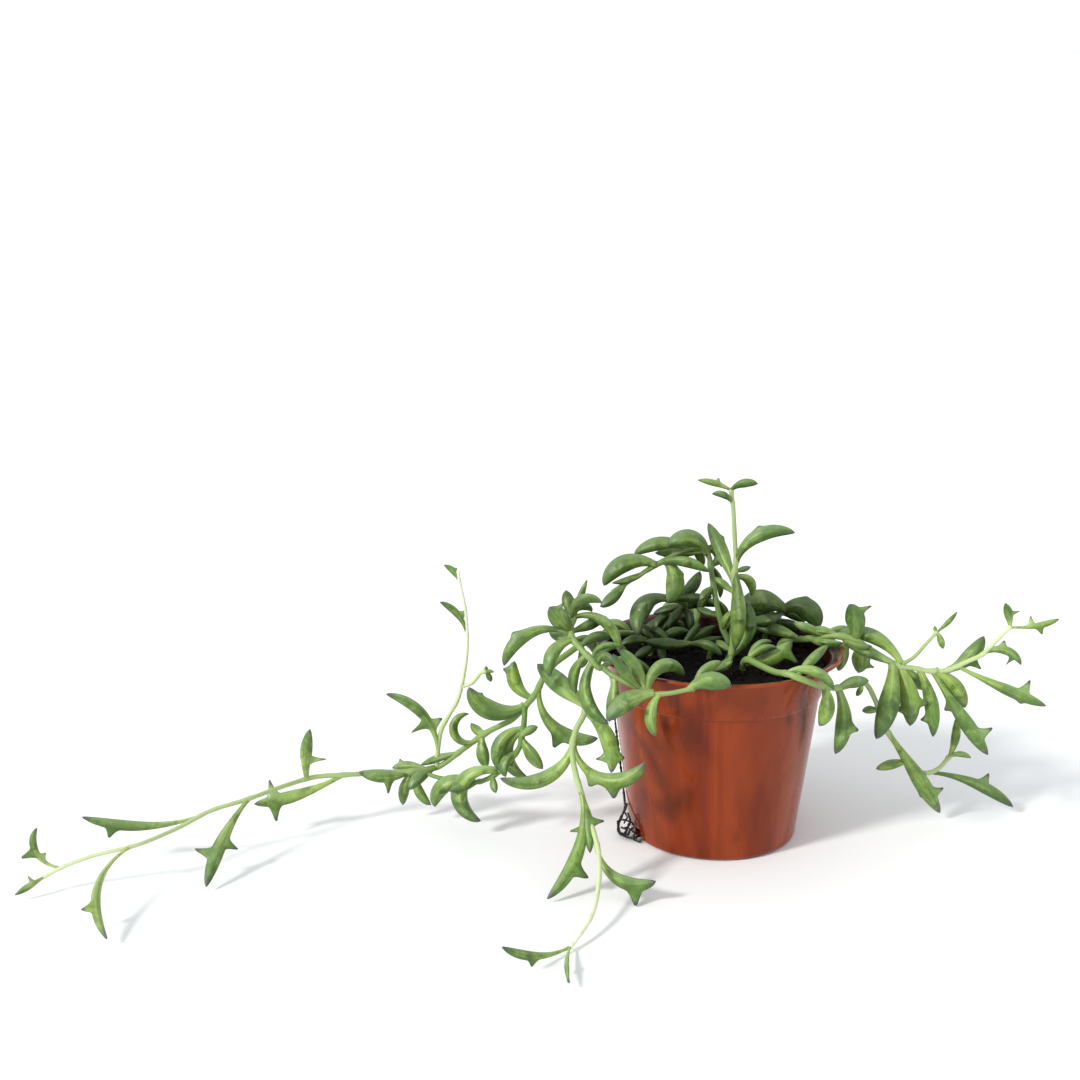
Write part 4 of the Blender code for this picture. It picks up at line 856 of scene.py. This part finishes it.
def edge_reach(form, station, side, wide):
    """How far a leaf's edge reaches on one side at a share of its length, and its share of a fin's reach."""
    reach, share = wide, 0.0
    before, after = fin_spans(form)
    for place, fin_side, fin_reach in form.fins:
        if fin_side != side or fin_reach <= wide:
            continue
        span = after if station > place else before
        near = min(1.0, max(0.0, 1 - abs(station - place) / span) / FIN_BLUNTNESS) ** FIN_CURVE
        if wide + (fin_reach - wide) * near > reach:
            reach, share = wide + (fin_reach - wide) * near, near
    return reach, share


def fine_stations(form):
    """The shares of a leaf's length at which its fine skin has a ring."""
    shares = [*np.linspace(0.0, 1.0, LEAF_STEPS)[:-1] ** LEAF_STEP_LEAN, *TIP_STATIONS]
    before, after = fin_spans(form)
    for place, _, _ in form.fins:
        shares.append(place)
        shares += [place - before * step for step in FIN_STEPS]
        shares += [place + after * step for step in FIN_STEPS]
    kept = []
    for share in sorted(shares):
        if not kept or share - kept[-1] > LEAST_STEP:
            kept.append(share)
    return kept


def tip_share(form, station):
    """The share of its width that a leaf keeps near its end, which is round."""
    left = (1 - station) * form.length
    return math.sqrt(1 - max(0.0, 1 - left / TIP_ROUND) ** 2)


def crowd_shade(crowd, point):
    """How much painted shade the leaves round a point give it."""
    near = len(crowd.find_range(point, CROWD_REACH)) - len(CROWD_SPOTS)
    return CROWD_SHADE * min(1.0, max(0.0, near / CROWD_FULL))


def grow_leaf(skin, form, tint, shade, crowd):
    """A fleshy leaf: a slim stalk, a crescent blade with a shallow groove, fins and a blunt tip."""
    cosine, sine = (np.sign(share) * np.abs(share) ** KEEN_EDGE for share in circle(LEAF_RING))
    spread = np.clip(1 - np.abs(sine) / FIN_BASE, 0, 1) ** FIN_SHARPNESS
    groove = 1 - GROOVE_DEPTH * np.exp(-(cosine / GROOVE_WIDTH) ** 2) * (sine > 0)
    rings, fins, uppers, shades = [], [], [], []
    stations = fine_stations(form)
    for station in stations:
        spine, across, facing, wide, thick = section_at(form, station)
        flare = SEEN_WIDTH * (1 + LEAF_FOOT_FLARE * math.exp(-station / LEAF_FOOT_LENGTH))
        wide *= flare * tip_share(form, station)
        thick *= flare * tip_share(form, station)
        left, left_share = edge_reach(form, station, 1, wide)
        right, right_share = edge_reach(form, station, -1, wide)
        out = wide * cosine + np.where(cosine > 0, left - wide, wide - right) * spread
        through = thick * (sine * groove + EDGE_CURL * cosine ** 2)
        offsets = np.outer(out, across) + np.outer(through, facing)
        rings.append(np.array(spine) + offsets)
        # The height over the spine, for the painted highlight on top and the painted shade below
        uppers.append(offsets[:, 2] / max(wide, thick))
        fins.append(np.where(cosine > 0, left_share, right_share) * spread * (not form.turned))
        shades.append(min(1.0, max(0.0, shade + crowd_shade(crowd, spine))))
    skin.add_loft(rings, {
        "along": np.array(stations)[:, None],
        "edge": np.abs(sine if form.turned else cosine)[None, :],
        "upper": np.clip(uppers, -1, 1),
        "fin": np.array(fins),
        "tint": tint,
        "shade": np.array(shades)[:, None],
        "young": np.clip((form.root.xy.length - YOUNG_START) / (YOUNG_FULL - YOUNG_START), 0, 1),
        "stem": 0.0}, form.root, form.tip)


def make_shoot(name, shoot, paths, forms, crowd, material):
    """One leafy shoot: its stems and its leaves in one skin, in the place of its node."""
    draw = random.Random(name)
    skin = Skin(PAINTED)
    knots = [form.root for form in forms]
    for index, (stem, path) in enumerate(zip(shoot.stems, paths)):
        values = {**dict.fromkeys(PAINTED, 0.0), "tint": draw.random(), "shade": shoot.shade, "stem": 1.0}
        grow_stem(skin, path, knots, stem, values, index * STEM_NOISE_STEP)
    for form in forms:
        grow_leaf(skin, form, draw.random(), shoot.shade + draw.uniform(-SHADE_SPREAD, SHADE_SPREAD), crowd)
    settle(skin.as_object(f"{name}_skin", material), name)


def make_shoots(nodes, material):
    """All the leafy shoots, in each other's shade."""
    paths = {name: stem_paths(shoot) for name, shoot in PLANT.items()}
    forms = {name: forms_on(nodes[name], shoot.leaves, paths[name]) for name, shoot in PLANT.items()}
    crowd = search_tree([spine_at(form, spot)
                         for placed in forms.values() for form in placed for spot in CROWD_SPOTS])
    for name, shoot in PLANT.items():
        make_shoot(name, shoot, paths[name], forms[name], crowd, material)


# Pot

def pot_radius(height):
    """The pot's outer radius at a height, a little generous."""
    heights = [0.0, NECK_HEIGHT - COLLAR_UNDERCUT, NECK_HEIGHT, LIP_START, POT_HEIGHT - LIP_EDGE]
    radii = [POT_BASE_RADIUS, POT_NECK_RADIUS, COLLAR_RADIUS, COLLAR_TOP_RADIUS, POT_RIM_RADIUS]
    return np.interp(height, heights, radii)


def lip_curve(start, reach, low, rise):
    """A quarter turn from straight up at the start radius to level at start plus reach."""
    angles = [math.pi / 2 * step / LIP_CURVE_STEPS for step in range(LIP_CURVE_STEPS + 1)]
    return [(start + reach * (1 - math.cos(angle)), low + rise * math.sin(angle)) for angle in angles]


def corner(before, at, after, radius):
    """Points that round the corner of an outline."""
    at, before, after = (Vector(point) for point in (at, before, after))
    start = at + (before - at).normalized() * radius
    end = at + (after - at).normalized() * radius
    shares = [step / CORNER_STEPS for step in range(CORNER_STEPS + 1)]
    return [tuple(start * (1 - t) ** 2 + at * 2 * t * (1 - t) + end * t ** 2) for t in shares]


def rounded(outline, radii):
    """An outline with corners rounded: a radius for each of its points, or None to leave one as it is."""
    points = []
    for index, (point, radius) in enumerate(zip(outline, radii)):
        if radius:
            points += corner(outline[index - 1], point, outline[index + 1], radius)
        else:
            points.append(point)
    return points


def close_set(profile, spacing):
    """An outline with points added where its own lie further apart than the spacing."""
    points = []
    for (radius, height), (next_radius, next_height) in zip(profile, profile[1:]):
        count = max(1, round(math.hypot(next_radius - radius, next_height - height) / spacing))
        points += [(radius + (next_radius - radius) * step / count,
                    height + (next_height - height) * step / count) for step in range(count)]
    return points + [profile[-1]]


def pot_profile():
    """The pot's outline, from the middle of its bottom up the outside, over the lip and down the inside."""
    overhang = POT_RIM_RADIUS - COLLAR_TOP_RADIUS
    outer_lip = lip_curve(COLLAR_TOP_RADIUS, overhang, LIP_START, LIP_HEIGHT - LIP_EDGE)
    inner_start = COLLAR_TOP_RADIUS - POT_WALL
    inner_lip = lip_curve(inner_start, POT_RIM_RADIUS - LIP_EDGE / 2 - inner_start, LIP_START, LIP_HEIGHT)
    outside = rounded(
        [(0.0, 0.0), (POT_BASE_RADIUS - FOOT_ROUND, 0.0), (POT_BASE_RADIUS, FOOT_ROUND),
         (POT_NECK_RADIUS, NECK_HEIGHT - COLLAR_UNDERCUT), (COLLAR_RADIUS, NECK_HEIGHT), outer_lip[0]],
        [None, FOOT_CORNER, FOOT_CORNER, NECK_CORNER, COLLAR_CORNER, None])
    edge = (POT_RIM_RADIUS, POT_HEIGHT - LIP_EDGE / 2)
    rim = rounded([outer_lip[-1], edge, inner_lip[-1]], [None, RIM_CORNER, None])
    inside = [(COLLAR_RADIUS - POT_WALL, NECK_HEIGHT),
              (POT_NECK_RADIUS - POT_WALL, NECK_HEIGHT - COLLAR_UNDERCUT),
              (POT_BASE_RADIUS - POT_WALL, POT_FLOOR), (0.0, POT_FLOOR)]
    return outside + outer_lip[1:-1] + rim + inner_lip[-2::-1] + inside


def darkening_at(point, inside):
    """How dark the pot is at a point: inside towards the soil, and outside in the painted leaf reflections.
    """
    if inside:
        depth = (POT_HEIGHT - point.z) / (POT_HEIGHT - SOIL_TOP)
        return min(1.0, LIP_DARKENING + (1 - LIP_DARKENING) * depth)
    pixel = pixel_of(point)
    darkening = 0.0
    # Painted dark reflections of the leaves on the outside
    for right, down, half_wide, half_high, strength in POT_DARK_REFLECTIONS:
        away = ((pixel.x - right) / half_wide) ** 2 + ((pixel.y - down) / half_high) ** 2
        darkening = max(darkening, strength * math.exp(-away ** REFLECTION_EDGE))
    return darkening if point.y < 0 else 0.0


def drain_cutter():
    """Upright rods where the pot's bottom has its drain holes."""
    drains = [(ROOT_HOLE_ANGLE, ROOT_HOLE_CIRCLE, ROOT_HOLE_RADIUS)]
    for index in range(1, DRAIN_HOLES):
        angle = ROOT_HOLE_ANGLE + math.tau * index / DRAIN_HOLES
        drains.append((angle, DRAIN_HOLE_CIRCLE, DRAIN_HOLE_RADIUS))
    rods = bmesh.new()
    height = DRAIN_CUT_HEIGHT + CUT_MARGIN
    for angle, ring, radius in drains:
        made = bmesh.ops.create_cone(rods, cap_ends=True, segments=DRAIN_HOLE_SIDES, radius1=radius * MM,
                                     radius2=radius * MM, depth=height * MM)
        place = Vector((ring * math.cos(angle), ring * math.sin(angle), height / 2 - CUT_MARGIN)) * MM
        bmesh.ops.translate(rods, verts=made["verts"], vec=place)
    return place_in_scene("drain_cutter", mesh_from(rods, "drain_cutter"))


def make_pot(material):
    """The pot's shell, turned from its outline, darkened inside, painted with leaf reflections and drilled.
    """
    skin = Skin(("darkening",))
    profile = close_set(pot_profile(), POT_RING_SPACING)
    top = max(range(len(profile)), key=lambda index: profile[index][1])
    cosine, sine = circle(POT_STEPS)
    rings = [np.stack([radius * cosine, radius * sine, np.full(POT_STEPS, height)], axis=-1)
             for radius, height in profile[1:-1]]
    darkenings = [[darkening_at(Vector(point), index >= top) for point in ring] for index, ring in enumerate(rings)]
    skin.add_loft(rings, {"darkening": np.array(darkenings)}, (0, 0, profile[0][1]), (0, 0, profile[-1][1]))
    pot = skin.as_object("pot_shell", material)
    cutter = drain_cutter()
    drill = pot.modifiers.new("drains", "BOOLEAN")
    drill.operation = "DIFFERENCE"
    drill.solver = "EXACT"
    drill.object = cutter
    bpy.context.view_layer.update()
    pot.data = bpy.data.meshes.new_from_object(pot.evaluated_get(bpy.context.evaluated_depsgraph_get()))
    pot.modifiers.clear()
    bpy.data.objects.remove(cutter)
    pot.data.shade_smooth()
    pot.data.set_sharp_from_angle(angle=POT_SHARP_ANGLE)
    settle(pot, "pot")


# Soil

def soil_height(x, y):
    """The uneven height of the soil's top."""
    (long_x, long_y), (short_x, short_y) = SOIL_WAVES
    long_wave = math.sin(x / long_x) * math.cos(y / long_y)
    short_wave = math.sin(y / short_y - x / short_x)
    return SOIL_TOP + SOIL_RELIEF * (long_wave + SHORT_WAVE_SHARE * short_wave) / (1 + SHORT_WAVE_SHARE)


def crumbly_height(x, y):
    """The soil's height with its crumbs and pits."""
    place = Vector((x, y, 0.0))
    (swell_turns, swell), (lump_turns, lump), (grit_turns, grit) = SOIL_SWELLS, SOIL_LUMPS, SOIL_GRIT
    swells = noise.noise(place * swell_turns)
    lumps = LUMP_MIDDLE - noise.voronoi(place * lump_turns)[0][0]
    return soil_height(x, y) + swell * swells + lump * lumps + grit * noise.noise(place * grit_turns)


def soil_edge():
    """The radius of the soil's top where it meets the collar."""
    climb = (SOIL_TOP - NECK_HEIGHT) / (LIP_START - NECK_HEIGHT)
    return COLLAR_RADIUS + (COLLAR_TOP_RADIUS - COLLAR_RADIUS) * climb - POT_WALL - GAP * 2


def make_soil(material):
    """The root ball, with a crumbly top inside the pot."""
    inset = POT_WALL + GAP
    edge = soil_edge()
    spokes = list(zip(*circle(SOIL_SPOKES)))
    rings = []
    for ring in range(1, SOIL_RINGS + 1):
        radius = edge * ring / SOIL_RINGS
        rings.append([(radius * c, radius * s, crumbly_height(radius * c, radius * s)) for c, s in spokes])
    for radius, height in ((edge, SOIL_TOP - SOIL_SHOULDER),
                           (COLLAR_RADIUS - inset, NECK_HEIGHT + GAP),
                           (POT_NECK_RADIUS - inset, NECK_HEIGHT - COLLAR_UNDERCUT),
                           (POT_BASE_RADIUS - inset, POT_FLOOR + GAP)):
        rings.append([(radius * c, radius * s, height) for c, s in spokes])
    skin = Skin()
    skin.add_loft(rings[::-1], {}, (0, 0, POT_FLOOR + GAP), (0, 0, crumbly_height(0, 0)))
    settle(skin.as_object("soil_ball", material), "soil")


def make_crumbs(material):
    """Loose crumbs of soil on the top, more of them near the pot's wall."""
    draw = random.Random(CRUMB_SEED)
    lump = bmesh.new()
    bmesh.ops.create_icosphere(lump, subdivisions=2, radius=1.0)
    corners = [vertex.co.copy() for vertex in lump.verts]
    faces = [[vertex.index for vertex in face.verts] for face in lump.faces]
    lump.free()
    turns, bump = CRUMB_BUMPS
    points, all_faces = [], []
    for index in range(CRUMBS):
        radius = soil_edge() * CRUMB_REACH * draw.random() ** CRUMB_GATHERING
        angle = draw.uniform(0, math.tau)
        size = CRUMB_LEAST + CRUMB_RANGE * draw.random() ** CRUMB_RARITY
        x, y = radius * math.cos(angle), radius * math.sin(angle)
        middle = Vector((x, y, crumbly_height(x, y) + size * CRUMB_RISE))
        stretch = Vector((draw.uniform(*CRUMB_STRETCH), draw.uniform(*CRUMB_STRETCH),
                          draw.uniform(*CRUMB_FLATNESS)))
        first = len(points)
        for place in corners:
            swell = 1 + bump * noise.noise(place * turns + Vector((index * CRUMB_NOISE_STEP, 0, 0)))
            points.append((middle + place * stretch * size * swell) * MM)
        all_faces += [[first + number for number in face] for face in faces]
    crumbs = place_in_scene("soil_crumbs", smooth_mesh("soil_crumbs", points, all_faces, material))
    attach(crumbs, "root")


# Dry roots

def wall_places():
    """Places up the pot's wall that the longest dry root runs through."""
    outward = Vector((math.cos(DRY_THREAD_ANGLE), math.sin(DRY_THREAD_ANGLE), 0.0))
    return [outward * (pot_radius(height) + DRY_THREAD_GAP + DRY_THREAD_RADIUS) + Vector((0, 0, height))
            for height in DRY_THREAD_HEIGHTS]


def kinked(path, kink, shift):
    """A path with each point moved a little by noise."""
    return [point + noise.noise_vector(point * DRY_CURL_TURNS + shift) * kink for point in path]


def clear_of_pot(point, room):
    """The point, moved out to lie at least the given room off the pot's wall."""
    out = math.hypot(point.x, point.y)
    grow = max(1.0, (pot_radius(point.z) + room) / out)
    return Vector((point.x * grow, point.y * grow, max(point.z, room)))


def make_dry_roots(material):
    """The wiry root ends at the widest drain hole, with finer curls among them."""
    outward = Vector((math.cos(ROOT_HOLE_ANGLE), math.sin(ROOT_HOLE_ANGLE), 0.0))
    start = outward * (ROOT_HOLE_CIRCLE - DRY_ROOT_INSET) + Vector((0, 0, POT_FLOOR - DRY_ROOT_RADIUS))
    beyond, height = DRY_ROOT_WAY_OUT
    way_out = outward * (POT_BASE_RADIUS + beyond) + Vector((0, 0, height))
    loop = [start, way_out] + [seen(*place) for place in DRY_ROOT_LOOP]
    branch = [loop[3]] + [seen(*place) for place in DRY_ROOT_BRANCH]
    thread = [loop[-1]] + wall_places()
    threads = [(loop, DRY_ROOT_RADIUS, 0.0),
               (branch, DRY_ROOT_RADIUS, 0.0),
               (thread, DRY_THREAD_RADIUS, 0.0)]
    threads += [([seen(*place) for place in curl], DRY_CURL_RADIUS, DRY_CURL_KINK) for curl in DRY_CURLS]
    turns, bump = DRY_BUMPS
    skin = Skin()
    noise.seed_set(DRY_CURL_SEED)
    for number, (points, radius, kink) in enumerate(threads):
        shift = Vector((number * DRY_NOISE_STEP, 0, 0))
        path = kinked(smooth_path(points, DRY_STEP), kink, shift)
        path = [clear_of_pot(point, radius) for point in path] if kink else path
        radii = [radius * (DRY_LEAST + bump * noise.noise(point * turns + shift)) for point in path]
        add_tube(skin, path, radii, DRY_RING, {})
    settle(skin.as_object("dry_root_ends", material), "dry_roots")


# Materials

def paint(text):
    """A scene colour from the usual six hexadecimal digits."""
    channels = [int(text[index:index + 2], 16) / 255 for index in (0, 2, 4)]
    linear = [c / 12.92 if c <= 0.04045 else ((c + 0.055) / 1.055) ** 2.4 for c in channels]
    return (*linear, 1.0)


class Look:
    """A material built from nodes. A source is a number, six hexadecimal digits or another node's output."""

    def __init__(self, name):
        self.material = bpy.data.materials.new(name)
        self.material.use_nodes = True
        self.nodes = self.material.node_tree.nodes
        self.links = self.material.node_tree.links

    def feed(self, socket, source):
        """Gives a socket its source."""
        if isinstance(source, bpy.types.NodeSocket):
            self.links.new(source, socket)
        else:
            socket.default_value = paint(source) if isinstance(source, str) else source

    def set(self, **sources):
        """Feeds the shader's own sockets: an underscore stands for a space."""
        for name, source in sources.items():
            self.feed(self.nodes["Principled BSDF"].inputs[name.replace("_", " ")], source)

    def add(self, kind, output, sources, **settings):
        """The output of a new node with the given settings, its sockets fed by name or number."""
        node = self.nodes.new("ShaderNode" + kind)
        for name, value in settings.items():
            setattr(node, name, value)
        for socket, source in sources.items():
            self.feed(node.inputs[socket], source)
        return node.outputs[output]

    def value(self, name):
        """A value painted on the points."""
        return self.add("Attribute", "Fac", {}, attribute_name=name)

    def place(self, stretch=(1, 1, 1)):
        """The place on the piece, stretched along its axes."""
        own = self.add("TexCoord", "Object", {})
        return self.add("Mapping", "Vector", {"Vector": own, "Scale": stretch})

    def triple(self, x, y, z):
        """Three sources as one place."""
        return self.add("CombineXYZ", "Vector", {"X": x, "Y": y, "Z": z})

    def noise(self, place, scale, detail=3.0, roughness=0.55, distortion=0.0):
        """Noise from about 0.3 to 0.7."""
        return self.add("TexNoise", "Fac", {"Vector": place, "Scale": scale, "Detail": detail,
                                            "Roughness": roughness, "Distortion": distortion})

    def math(self, operation, first, second):
        """Two sources worked into one."""
        return self.add("Math", "Value", {0: first, 1: second}, operation=operation)

    def times(self, first, second):
        """One source times another."""
        return self.math("MULTIPLY", first, second)

    def fade(self, source, low, high, low_value=0.0, high_value=1.0):
        """A smooth change from one value to another as the source goes from low to high."""
        limits = {"From Min": low, "From Max": high, "To Min": low_value, "To Max": high_value}
        return self.add("MapRange", "Result", {"Value": source, **limits}, interpolation_type="SMOOTHSTEP")

    def ramp(self, source, *stops):
        """Colours that follow a source, each at its own place."""
        output = self.add("ValToRGB", "Color", {"Fac": source})
        elements = output.node.color_ramp.elements
        while len(elements) < len(stops):
            elements.new(0.5)
        for element, (place, colour) in zip(elements, stops):
            element.position = place
            element.color = paint(colour)
        return output

    def layered(self, colour, *layers):
        """A colour with others laid over it in turn, each with its share."""
        for share, over in layers:
            colour = self.add("Mix", 2, {0: share, 6: colour, 7: over}, data_type="RGBA")
        return colour

    def bump(self, height, distance, strength, **below):
        """A bumpy surface, over another one if its normal is given."""
        sources = {"Height": height, "Distance": distance, "Strength": strength, **below}
        return self.add("Bump", "Normal", sources)


def leafy_look():
    """Fleshy leaves and stems, coloured by the values painted on their points."""
    look = Look("succulent_tissue")
    along, edge, upper, fin, tint, shade, young, stem = (look.value(name) for name in PAINTED)
    place = look.place()
    mottle = look.noise(place, 240.0, detail=4.0, roughness=0.65, distortion=0.3)
    patches = look.noise(place, 95.0, detail=2.0, roughness=0.5, distortion=0.4)
    lengthwise = look.triple(look.times(edge, 3.0), look.times(along, 2.2), look.times(tint, 40.0))
    streaks = look.noise(lengthwise, 1.0, detail=2.0)
    young_foot = look.times(young, look.fade(along, 0.7, 0.3, 0.12, 0.95))
    stripe = look.times(look.fade(edge, 0.5, 0.1, 0.0, 0.45), look.fade(along, 0.95, 0.3))
    margin = look.times(look.fade(edge, 0.88, 0.99, 0.0, 0.6), look.fade(along, 0.2, 0.6))
    tip = look.times(look.math("MAXIMUM", look.fade(along, 0.88, 0.99), look.fade(fin, 0.5, 0.95)), 0.85)
    blade_colour = look.layered(
        look.ramp(along, (0.0, "B3C874"), (0.22, "9DB85A"), (0.45, "7B9C42"),
                  (0.75, "66883A"), (1.0, "5A7638")),
        (look.fade(tint, 0.5, 1.0, 0.0, 0.45), "90A63C"),
        (look.fade(tint, 0.5, 0.0, 0.0, 0.5), "44682C"),
        (young_foot, "BED07E"),
        (stripe, "ABC468"),
        (look.fade(mottle, 0.5, 0.68, 0.0, 0.6), "9DB47C"),
        (look.fade(patches, 0.52, 0.36, 0.0, 0.6), "42602A"),
        (look.fade(mottle, 0.48, 0.32, 0.0, 0.65), "3E5A22"),
        (look.fade(streaks, 0.4, 0.6, 0.4, 0.0), "3C5A20"),
        # Painted highlight on the top of the leaf and painted shade under it
        (look.fade(upper, 0.1, 0.9, 0.0, 0.45), "9DB880"),
        (look.fade(upper, 0.0, -0.9, 0.0, 0.5), "3F5F26"),
        (margin, "3E4A2A"),
        (tip, "4F4C53"))
    stem_colour = look.layered(
        look.ramp(along, (0.0, "648439"), (0.35, "88A25C"), (0.7, "BCCB95"), (1.0, "EFF2E0")),
        (look.fade(mottle, 0.5, 0.8, 0.0, 0.35), "8FA068"))
    coarse = look.bump(mottle, 0.0006, 0.45)
    look.set(
        # Painted shade deep in the plant and among crowded leaves
        Base_Color=look.layered(blade_colour, (stem, stem_colour), (look.times(shade, 0.8), "0F2407")),
        Roughness=look.fade(mottle, 0.3, 0.8, 0.36, 0.5),
        Normal=look.bump(look.noise(place, 1400.0, detail=2.0), 0.00005, 0.6, Normal=coarse),
        Subsurface_Weight=0.16, Subsurface_Scale=0.002, Subsurface_Radius=(0.8, 1.0, 0.3),
        Specular_IOR_Level=0.4)
    return look.material


def pot_look():
    """Thin glossy moulded plastic, a little streaky and cloudy down the sides."""
    look = Look("glossy_terracotta_plastic")
    streaky = look.noise(look.place((1.0, 1.0, 0.12)), 55.0, detail=4.0, roughness=0.6, distortion=0.6)
    cloudy = look.noise(look.place((1.0, 1.0, 0.5)), 30.0, roughness=0.6, distortion=0.4)
    ripple = look.noise(look.place((1.0, 1.0, 0.2)), 40.0, detail=2.0)
    darkening = look.value("darkening")
    look.set(
        Base_Color=look.layered(
            look.ramp(streaky, (0.3, "682209"), (0.5, "883510"), (0.75, "9A4219")),
            (look.fade(cloudy, 0.5, 0.75, 0.0, 0.5), "6E2A14"),
            # Darker inside towards the soil, and painted dark reflections of the leaves outside
            (look.times(darkening, 0.98), look.ramp(darkening, (0.8, "3C150A"), (0.88, "150B08")))),
        Roughness=look.fade(streaky, 0.3, 0.8, 0.22, 0.34),
        Normal=look.bump(ripple, 0.0005, 0.5),
        Specular_IOR_Level=0.12, Coat_Weight=0.5, Coat_IOR=1.3, Coat_Roughness=0.05)
    return look.material


def soil_look():
    """Dark peaty soil with a little paler grit."""
    look = Look("dark_crumbly_soil")
    grains = look.noise(look.place(), 900.0, detail=5.0, roughness=0.7)
    look.set(
        Base_Color=look.ramp(grains, (0.3, "060404"), (0.58, "100B08"), (0.74, "211812"), (0.88, "4A3E33")),
        Normal=look.bump(grains, 0.0006, 0.9),
        Roughness=0.95, Specular_IOR_Level=0.15)
    return look.material


def dry_look():
    """Nearly black dried root."""
    look = Look("dry_root")
    grains = look.noise(look.place(), 1500.0)
    look.set(
        Base_Color=look.ramp(grains, (0.35, "0A0707"), (0.75, "2C211E")),
        Normal=look.bump(grains, 0.0003, 0.8),
        Roughness=0.7)
    return look.material


def floor_look():
    """Plain pale floor without gloss."""
    look = Look("pale_floor")
    look.set(Base_Color=(*FLOOR_COLOUR, 1.0), Roughness=0.9, Specular_IOR_Level=0.0)
    return look.material


# Surroundings

def make_camera():
    """The camera that sees the view's pixels as the places were read."""
    data = bpy.data.cameras.new("camera")
    data.sensor_width = LENS_FRAME
    data.lens = LENS_FRAME * FOCAL_PIXELS / IMAGE_SIZE
    data.clip_end = FLOOR_SIZE * 2
    camera = place_in_scene("camera", data)
    camera.location = EYE * MM
    camera.rotation_euler = (math.pi / 2 - LOOK_DOWN, 0.0, 0.0)
    bpy.context.scene.camera = camera


def make_floor():
    """A wide floor just under the part."""
    shape = bmesh.new()
    bmesh.ops.create_grid(shape, x_segments=2, y_segments=2, size=FLOOR_SIZE / 2)
    mesh = mesh_from(shape, "floor")
    mesh.materials.append(floor_look())
    floor = place_in_scene("floor", mesh)
    floor.location = (0.0, 0.0, -FLOOR_DROP * MM)


def make_sky():
    """White light from all round, brightest low down and a little blue."""
    world = bpy.data.worlds.new("studio")
    world.use_nodes = True
    nodes, links = world.node_tree.nodes, world.node_tree.links
    background = nodes["Background"]
    heading = nodes.new("ShaderNodeTexCoord")
    parts = nodes.new("ShaderNodeSeparateXYZ")
    strength = nodes.new("ShaderNodeMapRange")
    strength.interpolation_type = "SMOOTHSTEP"
    for name, number in zip(("From Min", "From Max", "To Min", "To Max"), (*SKY_FADE, SKY_GLOW, SKY_TOP)):
        strength.inputs[name].default_value = number
    background.inputs["Color"].default_value = (*SKY_COLOUR, 1.0)
    links.new(heading.outputs["Generated"], parts.inputs["Vector"])
    links.new(parts.outputs["Z"], strength.inputs["Value"])
    links.new(strength.outputs["Result"], background.inputs["Strength"])
    bpy.context.scene.world = world


def make_sun():
    """The soft key light."""
    data = bpy.data.lights.new("sun", "SUN")
    data.energy = SUN_POWER
    data.angle = SUN_SPREAD
    data.color = SUN_COLOUR
    sun = place_in_scene("sun", data)
    sun.rotation_euler = Vector(SUN_HEADING).to_track_quat("-Z", "Y").to_euler()


def main():
    """Builds the whole scene."""
    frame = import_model()
    make_camera()
    make_floor()
    make_sky()
    make_sun()
    bpy.context.scene.view_settings.view_transform = "Standard"
    make_pot(pot_look())
    earth = soil_look()
    make_soil(earth)
    make_crumbs(earth)
    make_dry_roots(dry_look())
    make_shoots(frame["nodes"], leafy_look())


main()
